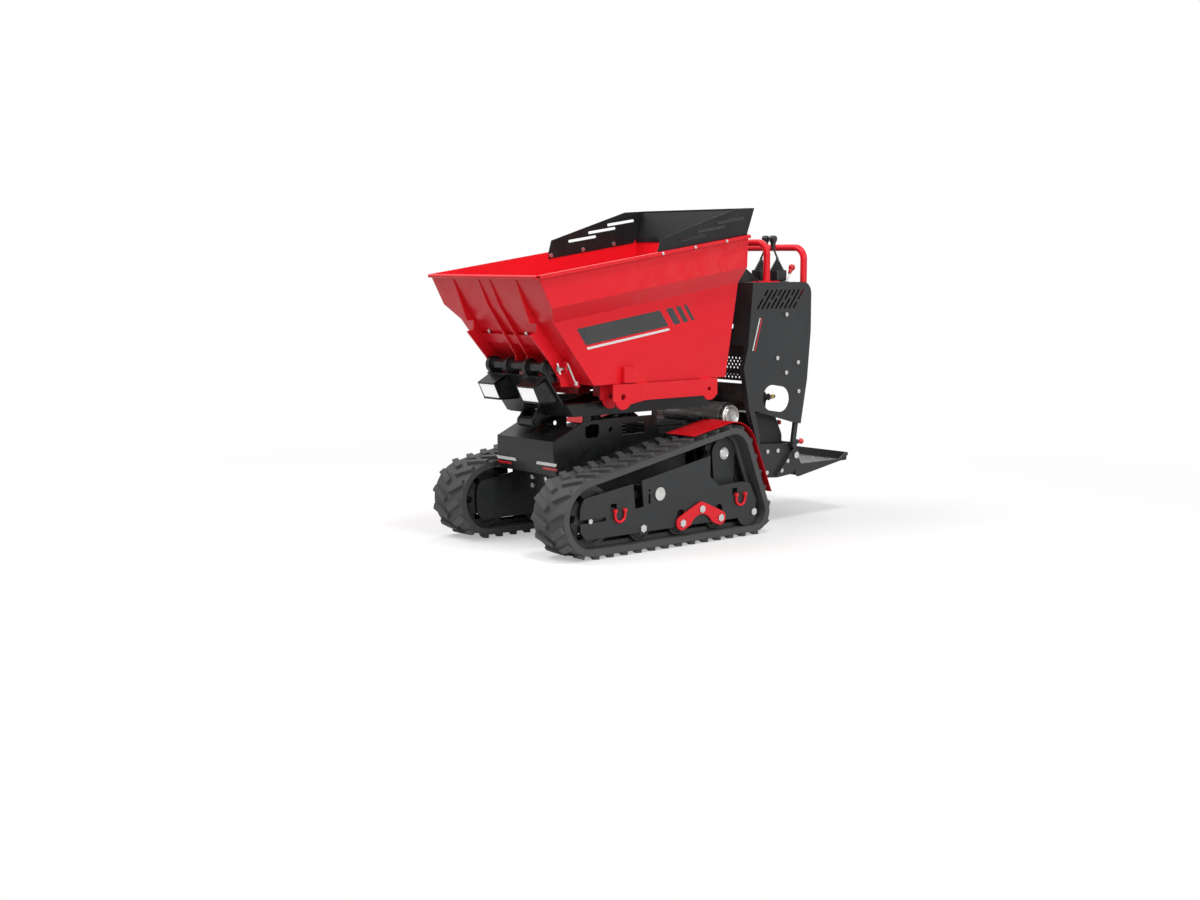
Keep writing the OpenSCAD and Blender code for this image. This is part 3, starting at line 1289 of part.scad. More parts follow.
boot_base = 40;
boot_top_r = 9;
boot_h = 88;
rod_thin = 4;
knob_h = 54;
lever_pivot = console_z - 40;
boot_gap = 0.4;
rib_h = (boot_h - boot_base) / boot_ribs;
module travel_lever(m) color(black) place() {
    x = lever_x + m * lever_gap / 2;
    bend = console_z + boot_h + 8;
    top = [x - m * lever_lean, lever_y, knob_z - knob_h];
    bar([x, lever_y, lever_pivot], [x, lever_y, bend], rod_thin);
    translate([x, lever_y, bend]) sphere(r = rod_thin + 2);
    bar([x, lever_y, bend], top + [0, 0, 6], rod_thin);
    translate([x - m * lever_lean, lever_y, knob_z - knob_h]) rotate_extrude()
        polygon([[0, 0], [9, 0], [11, 24], [knob_r - 1, 34], [knob_r, 44], [knob_r - 3, knob_h - 3],
            [knob_r - 7, knob_h], [0, knob_h]]);
    rod_x(lever_y, lever_pivot, rod_thin + 5, x - 9, x + 9);
    rod_x(lever_y, lever_pivot, pivot_r, x - 13, x + 13);
}
// Rubber boot: a square foot and a stack of ribs that narrow towards the rod
module lever_boots() color(black) place() for (x = boot_x)
    translate([x, lever_y, console_z + 3 + boot_gap]) difference() {
    union() {
        translate([-boot_w / 2, -boot_w / 2, 0]) cube([boot_w, boot_w, boot_base]);
        translate([0, 0, boot_base - eps]) rotate_extrude() polygon(concat([[0, 0]],
            [for (i = [0:boot_ribs - 1]) each let (
            r = boot_w / 2 - 2 + (boot_top_r - boot_w / 2 + 2) * i / (boot_ribs - 1))
            [[r - 3.5, i * rib_h + (i == 0 ? 0 : eps / 4)], [r, (i + 0.5) * rib_h], [r - 3.5, (i + 0.9)
                * rib_h]]], [[0, (boot_ribs - 0.1) * rib_h]]));
    }
    translate([0, 0, -eps]) cylinder(r = boot_w / 2 - 10, h = boot_base - 4);
    cylinder(r = rod_thin + boot_gap, h = 2 * boot_h);
}
throttle = [226, 1312];
throttle_lean = [0, 34, 58];
throttle_z = console_z - 20;
module throttle_lever() color(red) place() {
    foot = [throttle[0], throttle[1], throttle_z];
    ball = [throttle[0], throttle[1], console_z] + throttle_lean;
    bar(foot, ball, 3);
    translate(ball) sphere(r = ball_r);
    neck = ball - throttle_lean * 0.42;
    d = ball - neck;
    translate(neck) rotate([0, acos(d[2] / norm(d)), atan2(d[1], d[0])]) cylinder(r1 = 6,
        r2 = ball_r - 3, h = norm(d) - 4);
    rod_x(foot[1], foot[2], 8, foot[0] - 6, foot[0] + 6);
    rod_x(foot[1], foot[2], pivot_r, foot[0] - 10, foot[0] + 10);
}

// Rear frame and step

bracket_x = 244;
bracket_t = 6;
post_x = 262;
post_r = 12;
post_pts = [[1326, 318], [1352, 480], [1362, 600], [1362, 880]];
lock_y = 1346;
lock_z = 330;
bracket_pts = [[chassis_rear, 338], [step_y - 10, 320], [step_y + 18, step_z + 16],
    [step_y + 18, step_z - 14],
    [step_y - 15, 195], [step_y - 110, 187], [step_y - 204, 194], [step_y - 216, 256],
        [chassis_rear, 256]];
bracket_bolts = [[1186, 300], [1247, 299], [1307, 252], [1272, 215], [1184, 213]];
strap = [[step_y - 20, 306], [step_y - 124, 194]];
tray_z = [tank_z[0] - 6, tank_z[0]];
module rear_frame() color(dark) place() {
    both_sides() {
        difference() {
            along_x(bracket_x, bracket_x + bracket_t) polygon(bracket_pts);
            rod_x(step_y, step_z, step_pin_r + run_gap, bracket_x - eps, bracket_x + bracket_t + eps);
            for (p = bracket_bolts) rod_x(p[0], p[1], 5 + run_gap, bracket_x - eps,
                bracket_x + bracket_t + eps);
        }
        d = (strap[1] - strap[0]) / norm(strap[1] - strap[0]);
        n = [d[1], -d[0]] * 4;
        along_x(bracket_x + bracket_t - eps, bracket_x + bracket_t + 14) polygon([strap[0], strap[1],
            strap[1] + n, strap[0] + n]);
        for (i = [0:2]) bar(concat(post_x, post_pts[i]), concat(post_x, post_pts[i + 1]), post_r);
        for (i = [0:2]) rod_x(post_pts[i][0], post_pts[i][1], post_r + 1.5, post_x - post_r - 1.5,
            post_x + post_r + 1.5);
        for (i = [2, 4]) box([post_x, panel_bolts[i][0] - 10, panel_bolts[i][1] - 10],
            [panel_x - panel_t, post_pts[1][0], panel_bolts[i][1] + 10]);
        box([bracket_x, front_pts[0][0] + 5, 320], [panel_x - panel_t, front_pts[0][0] + leg_w - 2,
            front_pts[0][1] + 16]);
        ring_x(step_y, step_z, step_pin_r + run_gap, 14, step_half + seat_gap, bracket_x + eps);
    }
    translate([post_x, lock_y - 6, lock_z]) rotate([-90, 0, 0]) difference() {
        cylinder(r = lock_r - 2, h = 16);
        translate([0, 0, 2]) cylinder(r = 5 + run_gap, h = 20);
    }
    box([-bracket_x - eps, chassis_rear, 260], [bracket_x + eps, chassis_rear + 36, 334]);
    box([-bracket_x - eps, chassis_rear + 30, tray_z[0]], [bracket_x + eps, tank_y[1] + 4, tray_z[1]]);
    rod_x(post_pts[0][0], post_pts[0][1], post_r, -post_x, post_x);
    rod_x(post_pts[2][0], post_pts[2][1], post_r, -post_x, post_x);
}
step_half = step_w / 2;
tread_y = step_y + 32;
module step_side() {
    translate([step_y, step_z]) circle(r = 18);
    polygon([[step_y - 17, step_z - 6], [tread_y - 6, step_z - tread_drop - step_deep],
        [tread_y + 10, step_z - tread_drop - step_deep],
        [step_tip - 50, step_z - tread_drop - step_t], [step_tip, step_z - tread_drop + step_lip - 12],
        [step_tip - 4, step_z - tread_drop + step_lip], [step_tip - 16, step_z - tread_drop + step_lip],
        [step_tip - 60, step_z - tread_drop + 4], [tread_y + 20, step_z - tread_drop + 4],
            [step_y + 16, step_z + 10]]);
}
module step_plate() color(dark) place() {
    both_sides() {
        difference() {
            along_x(step_half - step_t, step_half) step_side();
            rod_x(step_y, step_z, step_pin_r + run_gap, step_half - 20, step_half + 20);
        }
    }
    box([-step_half + step_t - eps, tread_y, step_z - tread_drop - step_t],
        [step_half - step_t + eps, step_tip - step_t - 4, step_z - tread_drop]);
    along_x(-step_half + step_t - eps, step_half - step_t + eps) polygon([[step_tip - step_t - 12,
        step_z - tread_drop - step_t],
        [step_tip - 8, step_z - tread_drop - step_t], [step_tip - 4, step_z - tread_drop + step_lip],
            [step_tip - 8, step_z - tread_drop + step_lip]]);
    box([-step_half + step_t - eps, tread_y, step_z - tread_drop - step_deep + 4],
        [step_half - step_t + eps, tread_y + step_t, step_z - tread_drop]);
}
module lock_knob() color(red) place() translate([post_x, lock_y, lock_z]) rotate([-90, 0, 0]) {
    cylinder(r = 5, h = 30);
    translate([0, 0, 14]) rotate_extrude() polygon([[0, 0], [7, 0], [8, 8], [lock_r, 14], [lock_r, 20],
        [lock_r - 4, 26], [0, 26]]);
}
module tower_bolts() color(bright) place() both_sides() {
    for (p = panel_bolts) {
        rod_x(p[0], p[1], 5, panel_x - panel_t, panel_x + eps);
        hex_x(p[0], p[1], hex_small, panel_x, hex_h);
    }
    for (p = bracket_bolts) {
        rod_x(p[0], p[1], 5, bracket_x, bracket_x + bracket_t + eps);
        hex_x(p[0], p[1], hex_small, bracket_x + bracket_t, hex_h);
    }
    rod_x(step_y, step_z, step_pin_r, step_half - step_t - 4, bracket_x + bracket_t + eps);
    hex_x(step_y, step_z, hex_large, bracket_x + bracket_t, hex_h);
}

track_belt(1);  // track_belt_left
track_belt(-1);  // track_belt_right
track_frame(1);  // track_frame_left
track_frame(-1);  // track_frame_right
idler_wheel(1);  // idler_wheel_left
idler_wheel(-1);  // idler_wheel_right
drive_sprocket(1);  // drive_sprocket_left
drive_sprocket(-1);  // drive_sprocket_right
front_roller(1);  // front_roller_left
front_roller(-1);  // front_roller_right
rear_roller(1);  // rear_roller_left
rear_roller(-1);  // rear_roller_right
bogie_rocker(1);  // bogie_rocker_left
bogie_rocker(-1);  // bogie_rocker_right
bogie_axles(1);  // bogie_axles_left
bogie_axles(-1);  // bogie_axles_right
bogie_roller(1, -1);  // bogie_front_roller_left
bogie_roller(-1, -1);  // bogie_front_roller_right
bogie_roller(1, 1);  // bogie_rear_roller_left
bogie_roller(-1, 1);  // bogie_rear_roller_right
drive_motors();
track_axles();
track_tensioners();
fenders();
lashing_hooks();
chassis_frame();
front_cover();
cross_tubes();
tip_subframe();
hinge_shaft();
hinge_bushes();
skip_shell();
skip_frame();
side_board(1);  // side_board_left
side_board(-1);  // side_board_right
rear_board();
board_bolts();
stay_rod();
stay_pin();
tip_barrel();
tip_rod();
engine_block();
muffler();
muffler_guard();
heat_screen();
hydraulic_tank();
tower_panel(1);  // tower_panel_left
tower_panel(-1);  // tower_panel_right
console_top();
guard_bar();
hand_bar();
travel_lever(1);  // travel_lever_left
travel_lever(-1);  // travel_lever_right
lever_boots();
throttle_lever();
rear_frame();
step_plate();
lock_knob();
tower_bolts();
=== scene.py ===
# %% [markdown]
# # A tracked power carrier in the studio
# The machine is a small walk-behind dumper: two rubber tracks, a red skip that tips forward, a dark
# control tower and a folding step. Its solids arrive already built and jointed. This lesson rounds their
# edges, adds the parts that are too soft or too thin for the solids, gives each surface its finish, and
# lights it on a white floor.

import json
import math

import bpy
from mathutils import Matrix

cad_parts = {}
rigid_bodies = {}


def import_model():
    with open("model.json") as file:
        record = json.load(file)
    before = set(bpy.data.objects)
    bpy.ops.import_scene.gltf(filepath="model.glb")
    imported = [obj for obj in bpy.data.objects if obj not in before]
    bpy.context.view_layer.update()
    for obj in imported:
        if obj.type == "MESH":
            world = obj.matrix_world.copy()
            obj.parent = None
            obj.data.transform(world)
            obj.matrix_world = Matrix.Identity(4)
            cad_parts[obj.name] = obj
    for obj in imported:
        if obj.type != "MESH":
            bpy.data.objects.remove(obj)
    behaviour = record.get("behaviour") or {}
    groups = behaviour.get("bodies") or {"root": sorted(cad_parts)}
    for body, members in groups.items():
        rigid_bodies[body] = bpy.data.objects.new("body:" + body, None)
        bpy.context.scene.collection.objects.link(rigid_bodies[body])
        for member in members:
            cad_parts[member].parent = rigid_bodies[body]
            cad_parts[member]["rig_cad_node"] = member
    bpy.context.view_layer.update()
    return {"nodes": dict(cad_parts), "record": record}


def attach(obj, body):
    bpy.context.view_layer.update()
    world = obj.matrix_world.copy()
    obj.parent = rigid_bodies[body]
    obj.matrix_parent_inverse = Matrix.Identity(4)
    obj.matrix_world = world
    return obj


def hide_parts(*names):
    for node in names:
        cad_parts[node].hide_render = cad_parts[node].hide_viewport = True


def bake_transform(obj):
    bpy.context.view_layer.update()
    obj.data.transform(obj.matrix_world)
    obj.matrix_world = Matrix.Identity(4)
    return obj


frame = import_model()
scene = bpy.context.scene
scene.view_settings.view_transform = "Standard"

# %% [markdown]
# ## Camera
# The photograph was taken from the front left corner, at about the height of the skip's rim, with a normal
# lens. The camera was worked out from straight edges on the tracks and the skip, so only its place, two
# angles and the lens are set.

# %% Camera
CAMERA_PLACE = (4.744, -4.4045, 1.086)
CAMERA_TILT = math.radians(83.18)
CAMERA_TURN = math.radians(49.23)
SENSOR_WIDTH = 36
FOCAL_LENGTH = 48.3

bpy.ops.object.select_all(action="DESELECT")
bpy.ops.object.camera_add(location=CAMERA_PLACE, rotation=(CAMERA_TILT, 0, CAMERA_TURN))
camera = bpy.context.active_object
camera.name = "photo_camera"
camera.data.sensor_width = SENSOR_WIDTH
camera.data.lens = FOCAL_LENGTH
scene.camera = camera
print("camera at", [round(v, 3) for v in camera.location])

# %% [markdown]
# ## Placing by station
# Places on the machine are given in millimetres: across from its middle, along from the front of the
# tracks, which is the station, and up from the ground. These helpers turn them into Blender's metres.

# %% Station helpers
MILLI = 1000
MIDDLE = 816.5


def metres(length):
    return length / MILLI


def at(x, station, z):
    return (metres(x), metres(station - MIDDLE), metres(z))


print("track front is at", at(0, 0, 0))

# %% [markdown]
# ## Node groups
# Several finishes share an effect, so each effect is a node group. A group takes two colours and a few
# amounts, and puts out a colour, a roughness and a normal that change over the surface. The shader itself
# stays in the material.

# %% Group helpers
GROUP_OUTPUTS = {"Colour": "NodeSocketColor", "Roughness": "NodeSocketFloat", "Normal": "NodeSocketVector"}
# A Mix node has sockets for values, vectors and colours. These are the ones for colours.
MIX_A = 6
MIX_B = 7
MIX_RESULT = 2


def new_group(name, colours, amounts):
    """A node group with its inputs and outputs, ready to be filled."""
    tree = bpy.data.node_groups.new(name, "ShaderNodeTree")
    for label in colours:
        tree.interface.new_socket(label, in_out="INPUT", socket_type="NodeSocketColor")
    for label in amounts:
        tree.interface.new_socket(label, in_out="INPUT", socket_type="NodeSocketFloat")
    for label, kind in GROUP_OUTPUTS.items():
        tree.interface.new_socket(label, in_out="OUTPUT", socket_type=kind)
    return tree, tree.nodes.new("NodeGroupInput").outputs, tree.nodes.new("NodeGroupOutput").inputs


def feed(tree, socket, value):
    """Sets a socket to a plain value, or links it to another node's output."""
    if isinstance(value, bpy.types.NodeSocket):
        tree.links.new(value, socket)
    else:
        socket.default_value = value


def put_out(tree, leave, colour, roughness, normal):
    for label, value in zip(GROUP_OUTPUTS, (colour, roughness, normal)):
        tree.links.new(value, leave[label])


def object_place(tree):
    return tree.nodes.new("ShaderNodeTexCoord").outputs["Object"]


def noise(tree, vector, scale, detail, distortion=0.0):
    node = tree.nodes.new("ShaderNodeTexNoise")
    node.inputs["Detail"].default_value = detail
    node.inputs["Distortion"].default_value = distortion
    feed(tree, node.inputs["Scale"], scale)
    feed(tree, node.inputs["Vector"], vector)
    return node.outputs["Fac"]


def spread(tree, value, low, high, to_low=0.0, to_high=1.0):
    node = tree.nodes.new("ShaderNodeMapRange")
    amounts = {"Value": value, "From Min": low, "From Max": high, "To Min": to_low, "To Max": to_high}
    for label, amount in amounts.items():
        feed(tree, node.inputs[label], amount)
    return node.outputs["Result"]


def combine(tree, operation, a, b):
    node = tree.nodes.new("ShaderNodeMath")
    node.operation = operation
    feed(tree, node.inputs[0], a)
    feed(tree, node.inputs[1], b)
    return node.outputs[0]


def times(tree, a, b):
    return combine(tree, "MULTIPLY", a, b)


def blend_colour(tree, amount, a, b):
    node = tree.nodes.new("ShaderNodeMix")
    node.data_type = "RGBA"
    feed(tree, node.inputs["Factor"], amount)
    feed(tree, node.inputs[MIX_A], a)
    feed(tree, node.inputs[MIX_B], b)
    return node.outputs[MIX_RESULT]


def relief(tree, height, distance):
    node = tree.nodes.new("ShaderNodeBump")
    node.inputs["Strength"].default_value = 1.0
    feed(tree, node.inputs["Height"], height)
    feed(tree, node.inputs["Distance"], distance)
    return node.outputs["Normal"]


def gloss_between(tree, pattern, enter):
    """A roughness that follows a pattern between the group's two gloss amounts."""
    return spread(tree, pattern, low=0.3, high=0.7, to_low=enter["Gloss Low"], to_high=enter["Gloss High"])


print("view transform:", scene.view_settings.view_transform)

# %% [markdown]
# ### Paint
# Sprayed sheet steel is never quite even: the film is thinner in places, dries with a fine orange peel,
# takes smears that change its gloss, and turns to an edge tone along its edges in patches. That edge tone is
# rubbed wear, and on the red and dark paints also a painted highlight: lighter than the paint, it stands in
# for light caught on the edges. The edges come from the mesh's own pointiness, so they follow the rounded
# corners.

# %% Paint group
paint_group, enter, leave = new_group("paint film", ("Colour", "Edge Colour"), (
    "Patch", "Wear And Edge Highlight", "Peel Scale", "Peel Height", "Gloss Low", "Gloss High"))
where = object_place(paint_group)
broad = noise(paint_group, where, scale=3.5, detail=3)
smear = noise(paint_group, where, scale=17, detail=6, distortion=0.8)
deeper = paint_group.nodes.new("ShaderNodeHueSaturation")
deeper.inputs["Value"].default_value = 0.72
feed(paint_group, deeper.inputs["Color"], enter["Colour"])
patch = times(paint_group, spread(paint_group, broad, low=0.35, high=0.7), enter["Patch"])
film = blend_colour(paint_group, patch, enter["Colour"], deeper.outputs["Color"])
# Painted highlight and wear: in patches the edges take the edge colour, which is mostly lighter than the
# paint.
edge = paint_group.nodes.new("ShaderNodeNewGeometry").outputs["Pointiness"]
on_edge = spread(paint_group, edge, low=0.53, high=0.62)
in_smear = spread(paint_group, smear, low=0.42, high=0.62)
edge_wear_and_highlight = times(paint_group, times(paint_group, on_edge, in_smear), enter["Wear And Edge Highlight"])
film = blend_colour(paint_group, edge_wear_and_highlight, film, enter["Edge Colour"])
peel = noise(paint_group, where, scale=enter["Peel Scale"], detail=2)
put_out(paint_group, leave, film, gloss_between(paint_group, smear, enter),
        relief(paint_group, peel, enter["Peel Height"]))
print("group:", paint_group.name)

# %% [markdown]
# ### Rubber and moulded skins
# Tracks, boots, knobs and vinyl are moulded. They have a fine pebble from the mould, a soft bloom that
# shifts the colour in patches, and a gloss that changes with the bloom.

# %% Rubber group
rubber_group, enter, leave = new_group("moulded skin", ("Colour", "Bloom Colour"), (
    "Bloom", "Pebble Scale", "Pebble Height", "Gloss Low", "Gloss High"))
where = object_place(rubber_group)
haze = noise(rubber_group, where, scale=9, detail=5, distortion=0.4)
pebble = noise(rubber_group, where, scale=enter["Pebble Scale"], detail=3)
bloom = times(rubber_group, spread(rubber_group, haze, low=0.4, high=0.7), enter["Bloom"])
skin = blend_colour(rubber_group, bloom, enter["Colour"], enter["Bloom Colour"])
put_out(rubber_group, leave, skin, gloss_between(rubber_group, haze, enter),
        relief(rubber_group, pebble, enter["Pebble Height"]))
print("group:", rubber_group.name)

# %% [markdown]
# ### Bare metal
# Bolts, the silencer's end and the cylinder's rod are bare. Drawn or turned metal has fine scratches that
# run one way, so the noise is drawn out along one axis, and a slow second noise dulls it in patches.

# %% Metal group
SCRATCH_SCALE = (40, 900, 900)
SCRATCH_HEIGHT = 0.00004

metal_group, enter, leave = new_group("bare metal", ("Colour", "Stain Colour"), (
    "Stain", "Gloss Low", "Gloss High"))
where = object_place(metal_group)
drawn_out = metal_group.nodes.new("ShaderNodeMapping")
drawn_out.inputs["Scale"].default_value = SCRATCH_SCALE
feed(metal_group, drawn_out.inputs["Vector"], where)
scratch = noise(metal_group, drawn_out.outputs["Vector"], scale=1.0, detail=3)
dull = noise(metal_group, where, scale=24, detail=5, distortion=0.5)
stain = times(metal_group, spread(metal_group, dull, low=0.45, high=0.7), enter["Stain"])
bright = blend_colour(metal_group, stain, enter["Colour"], enter["Stain Colour"])
put_out(metal_group, leave, bright, gloss_between(metal_group, dull, enter),
        relief(metal_group, scratch, SCRATCH_HEIGHT))
print("group:", metal_group.name)

# %% [markdown]
# ## Finishes
# Each finish is one Principled shader fed by a group. Amounts that are the same all over, such as the clear
# coat on the red paint, are set on the shader itself. A finish's gloss is its lowest and highest roughness.

# %% Finish helpers
SHADER_INPUTS = {"Colour": "Base Color", "Roughness": "Roughness", "Normal": "Normal"}
BLOOM = 0.4


def grey(tone):
    return (tone, tone, tone)


def opaque(colour):
    return (*colour, 1)


def finish_of(name, group, gloss, amounts, **constants):
    material = bpy.data.materials.new(name)
    material.use_nodes = True
    tree = material.node_tree
    shader = tree.nodes["Principled BSDF"]
    look = tree.nodes.new("ShaderNodeGroup")
    look.node_tree = group
    look.inputs["Gloss Low"].default_value, look.inputs["Gloss High"].default_value = gloss
    for label, value in amounts.items():
        look.inputs[label].default_value = value
    for label, socket in SHADER_INPUTS.items():
        tree.links.new(look.outputs[label], shader.inputs[socket])
    for label, value in constants.items():
        shader.inputs[label.replace("_", " ")].default_value = value
    return material


def paint(name, colour, edge_colour, gloss, patch=0.3, wear_and_highlight=0.25, peel=260, height=0.00008, **constants):
    amounts = {"Colour": opaque(colour), "Edge Colour": opaque(edge_colour), "Patch": patch, "Wear And Edge Highlight": wear_and_highlight,
               "Peel Scale": peel, "Peel Height": height}
    return finish_of(name, paint_group, gloss, amounts, **constants)


def moulded(name, colour, bloom_colour, gloss, pebble, height=0.0002, **constants):
    amounts = {"Colour": opaque(colour), "Bloom Colour": opaque(bloom_colour), "Bloom": BLOOM,
               "Pebble Scale": pebble, "Pebble Height": height}
    return finish_of(name, rubber_group, gloss, amounts, **constants)


def metal(name, colour, stain_colour, gloss, stain=0.3):
    amounts = {"Colour": opaque(colour), "Stain Colour": opaque(stain_colour), "Stain": stain}
    return finish_of(name, metal_group, gloss, amounts, Metallic=1.0)


# %% Painted finishes
# Most edge colours here are lighter than their paint: besides wear, they paint a highlight on the rounded
# edges.
red_gloss = paint("red gloss paint", (0.84, 0.010, 0.022), (0.85, 0.10, 0.09), gloss=(0.32, 0.46),
                  patch=0.16, Specular_IOR_Level=0.3, Coat_Weight=0.06, Coat_Roughness=0.16)
# Darker than the gloss red: painted shade for the fenders, which lie in shadow. Its higher roughness is a
# real satin finish.
shaded_red_satin = paint("shaded red satin paint", (0.60, 0.006, 0.013), (0.8, 0.08, 0.07), gloss=(0.5, 0.65),
                  patch=0.16, Specular_IOR_Level=0.12)
black_gloss = paint("black gloss paint", (0.0095, 0.0105, 0.0115), grey(0.06), gloss=(0.22, 0.36),
                    wear_and_highlight=0.3, Specular_IOR_Level=0.26, Coat_Weight=0.06, Coat_Roughness=0.12)
grey_powder = paint("grey powder coat", (0.0165, 0.0183, 0.02), grey(0.12), gloss=(0.42, 0.58),
                    peel=700, height=0.00012, Specular_IOR_Level=0.42)
# A darker copy of the grey powder coat: painted shade for the boards, whose inner faces lie in the skip's
# shade.
shaded_board_powder = paint("shaded board powder coat", (0.0095, 0.0108, 0.0118), grey(0.10), gloss=(0.36, 0.5),
                     peel=700, height=0.00012, Specular_IOR_Level=0.25)
# The lighter edge colour, laid on more strongly here, paints a highlight on the wheels' rims and dark edges.
iron_paint = paint("wheel paint", (0.010, 0.0105, 0.011), (0.10, 0.095, 0.09), gloss=(0.45, 0.65),
                   wear_and_highlight=0.35, peel=180, height=0.0003)
white_enamel = paint("white enamel", (0.8, 0.8, 0.79), grey(0.5), gloss=(0.25, 0.4))
print("painted finishes made")

# %% Moulded finishes
track_rubber = moulded("track rubber", (0.054, 0.055, 0.057), (0.095, 0.095, 0.097), gloss=(0.58, 0.8),
                       pebble=420, height=0.00035)
boot_rubber = moulded("boot rubber", (0.009, 0.009, 0.010), grey(0.03), gloss=(0.4, 0.6),
                      pebble=900, height=0.0001)
black_plastic = moulded("black knob plastic", (0.008, 0.008, 0.009), grey(0.02), gloss=(0.22, 0.34),
                        pebble=1200, height=0.00004)
red_plastic = moulded("red plastic", (0.72, 0.012, 0.016), (0.5, 0.01, 0.012), gloss=(0.2, 0.32),
                      pebble=1200, height=0.00004)
tank_plastic = moulded("tank plastic", (0.007, 0.007, 0.008), grey(0.018), gloss=(0.35, 0.55),
                       pebble=600, Specular_IOR_Level=0.3)
print("moulded finishes made")

# %% Metal finishes
zinc = metal("zinc plate", (0.60, 0.60, 0.595), (0.40, 0.40, 0.37), gloss=(0.24, 0.4), stain=0.45)
rod_chrome = metal("ground chrome", grey(0.8), grey(0.6), gloss=(0.08, 0.18))
silencer_steel = metal("silencer steel", (0.66, 0.65, 0.64), (0.42, 0.36, 0.3), gloss=(0.22, 0.42))
guard_steel = metal("guard steel", (0.27, 0.265, 0.26), (0.12, 0.11, 0.10), gloss=(0.28, 0.45))
brass = metal("brass", (0.78, 0.56, 0.12), (0.4, 0.3, 0.1), gloss=(0.25, 0.4))
print("metal finishes made")

# %% [markdown]
# ## Which solid has which finish
# A table names the solids of each finish. Left and right pieces share a name, because only its start
# counts. The first row that fits is taken, so the silencer's guard comes before the silencer.

# %% Finish table
FINISHES = [
    (track_rubber, ("track_belt",)),
    (grey_powder, ("track_frame", "heat_screen", "tower_panel", "console_top", "rear_frame", "step_plate")),
    (iron_paint, ("idler_wheel", "drive_sprocket", "front_roller", "rear_roller", "bogie_front_roller",
                  "bogie_rear_roller", "track_tensioners", "hinge_bushes", "engine_block", "muffler_guard")),
    (red_gloss, ("bogie_rocker", "lashing_hooks", "skip_shell", "skip_frame", "guard_bar", "hand_bar")),
    (shaded_red_satin, ("fenders",)),
    (black_gloss, ("drive_motors", "chassis_frame", "front_cover", "tip_subframe", "hinge_shaft",
                   "tip_barrel")),
    (shaded_board_powder, ("side_board", "rear_board")),
    (zinc, ("bogie_axles", "track_axles", "cross_tubes", "board_bolts", "stay_pin", "tower_bolts")),
    (white_enamel, ("stay_rod",)),
    (rod_chrome, ("tip_rod",)),
    (silencer_steel, ("muffler",)),
    (tank_plastic, ("hydraulic_tank",)),
    (black_plastic, ("travel_lever",)),
    (boot_rubber, ("lever_boots",)),
    (red_plastic, ("throttle_lever", "lock_knob"))]


def finish_for(node):
    return next(finish for finish, starts in FINISHES if node.startswith(starts))


for name, solid in frame["nodes"].items():
    solid.data.materials.clear()
    solid.data.materials.append(finish_for(name))
print("finished solids:", len(frame["nodes"]))

# %% [markdown]
# ## Which body carries which solid
# A new piece rides on the body that carries the solid it stands for. The record lists them.

# %% Carriers
CARRIER = {node: body for body, nodes in frame["record"]["behaviour"]["bodies"].items() for node in nodes}
print("skip_shell rides on", CARRIER["skip_shell"])


# %% [markdown]
# ## Rounded edges
# Solids have knife edges, and no real sheet or casting does: a laser-cut plate is broken with a file, rubber
# leaves its mould with round corners. A solid is copied, its loose triangles are merged, flat areas are
# cleaned of needless edges, and a Bevel modifier rounds the corners that turn by more than 35 degrees.
# Large flat faces then set the shading of the corners beside them, so that plates stay flat to the eye. The
# copy stands for the solid. Two small solids are copied with a width of 0, only to take two finishes later.

# %% Piece helpers
def only(piece):
    bpy.ops.object.select_all(action="DESELECT")
    piece.select_set(True)
    bpy.context.view_layer.objects.active = piece


def named(name):
    """The piece that an operator has just made, under its name."""
    piece = bpy.context.active_object
    piece.name = piece.data.name = name
    return piece


def settle(location=True, rotation=True, scale=True):
    bpy.ops.object.transform_apply(location=location, rotation=rotation, scale=scale)


def apply_modifier(piece, name, kind, **settings):
    modifier = piece.modifiers.new(name, kind)
    for label, value in settings.items():
        setattr(modifier, label, value)
    bpy.ops.object.modifier_apply(modifier=modifier.name)


# %% Rounding helper
MERGE = 0.00005
FLAT_ANGLE = math.radians(0.4)
CORNER_ANGLE = math.radians(35)
SMOOTH_ANGLE = math.radians(40)
EDGE_SEGMENTS = 2


def rounded(node, width):
    only(frame["nodes"][node])
    bpy.ops.object.duplicate()
    piece = named(node + "_rounded")
    del piece["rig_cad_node"]
    bpy.ops.object.mode_set(mode="EDIT")
    bpy.ops.mesh.select_all(action="SELECT")
    bpy.ops.mesh.remove_doubles(threshold=MERGE)
    bpy.ops.mesh.dissolve_degenerate(threshold=MERGE)
    bpy.ops.mesh.dissolve_limited(angle_limit=FLAT_ANGLE)
    bpy.ops.mesh.normals_make_consistent(inside=False)
    bpy.ops.object.mode_set(mode="OBJECT")
    if width:
        apply_modifier(piece, "edges", "BEVEL", width=metres(width), segments=EDGE_SEGMENTS,
                       limit_method="ANGLE", angle_limit=CORNER_ANGLE, use_clamp_overlap=False)
    bpy.ops.object.shade_smooth_by_angle(angle=SMOOTH_ANGLE)
    apply_modifier(piece, "even shading", "WEIGHTED_NORMAL", keep_sharp=True)
    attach(piece, CARRIER[node])
    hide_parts(node)
    return piece


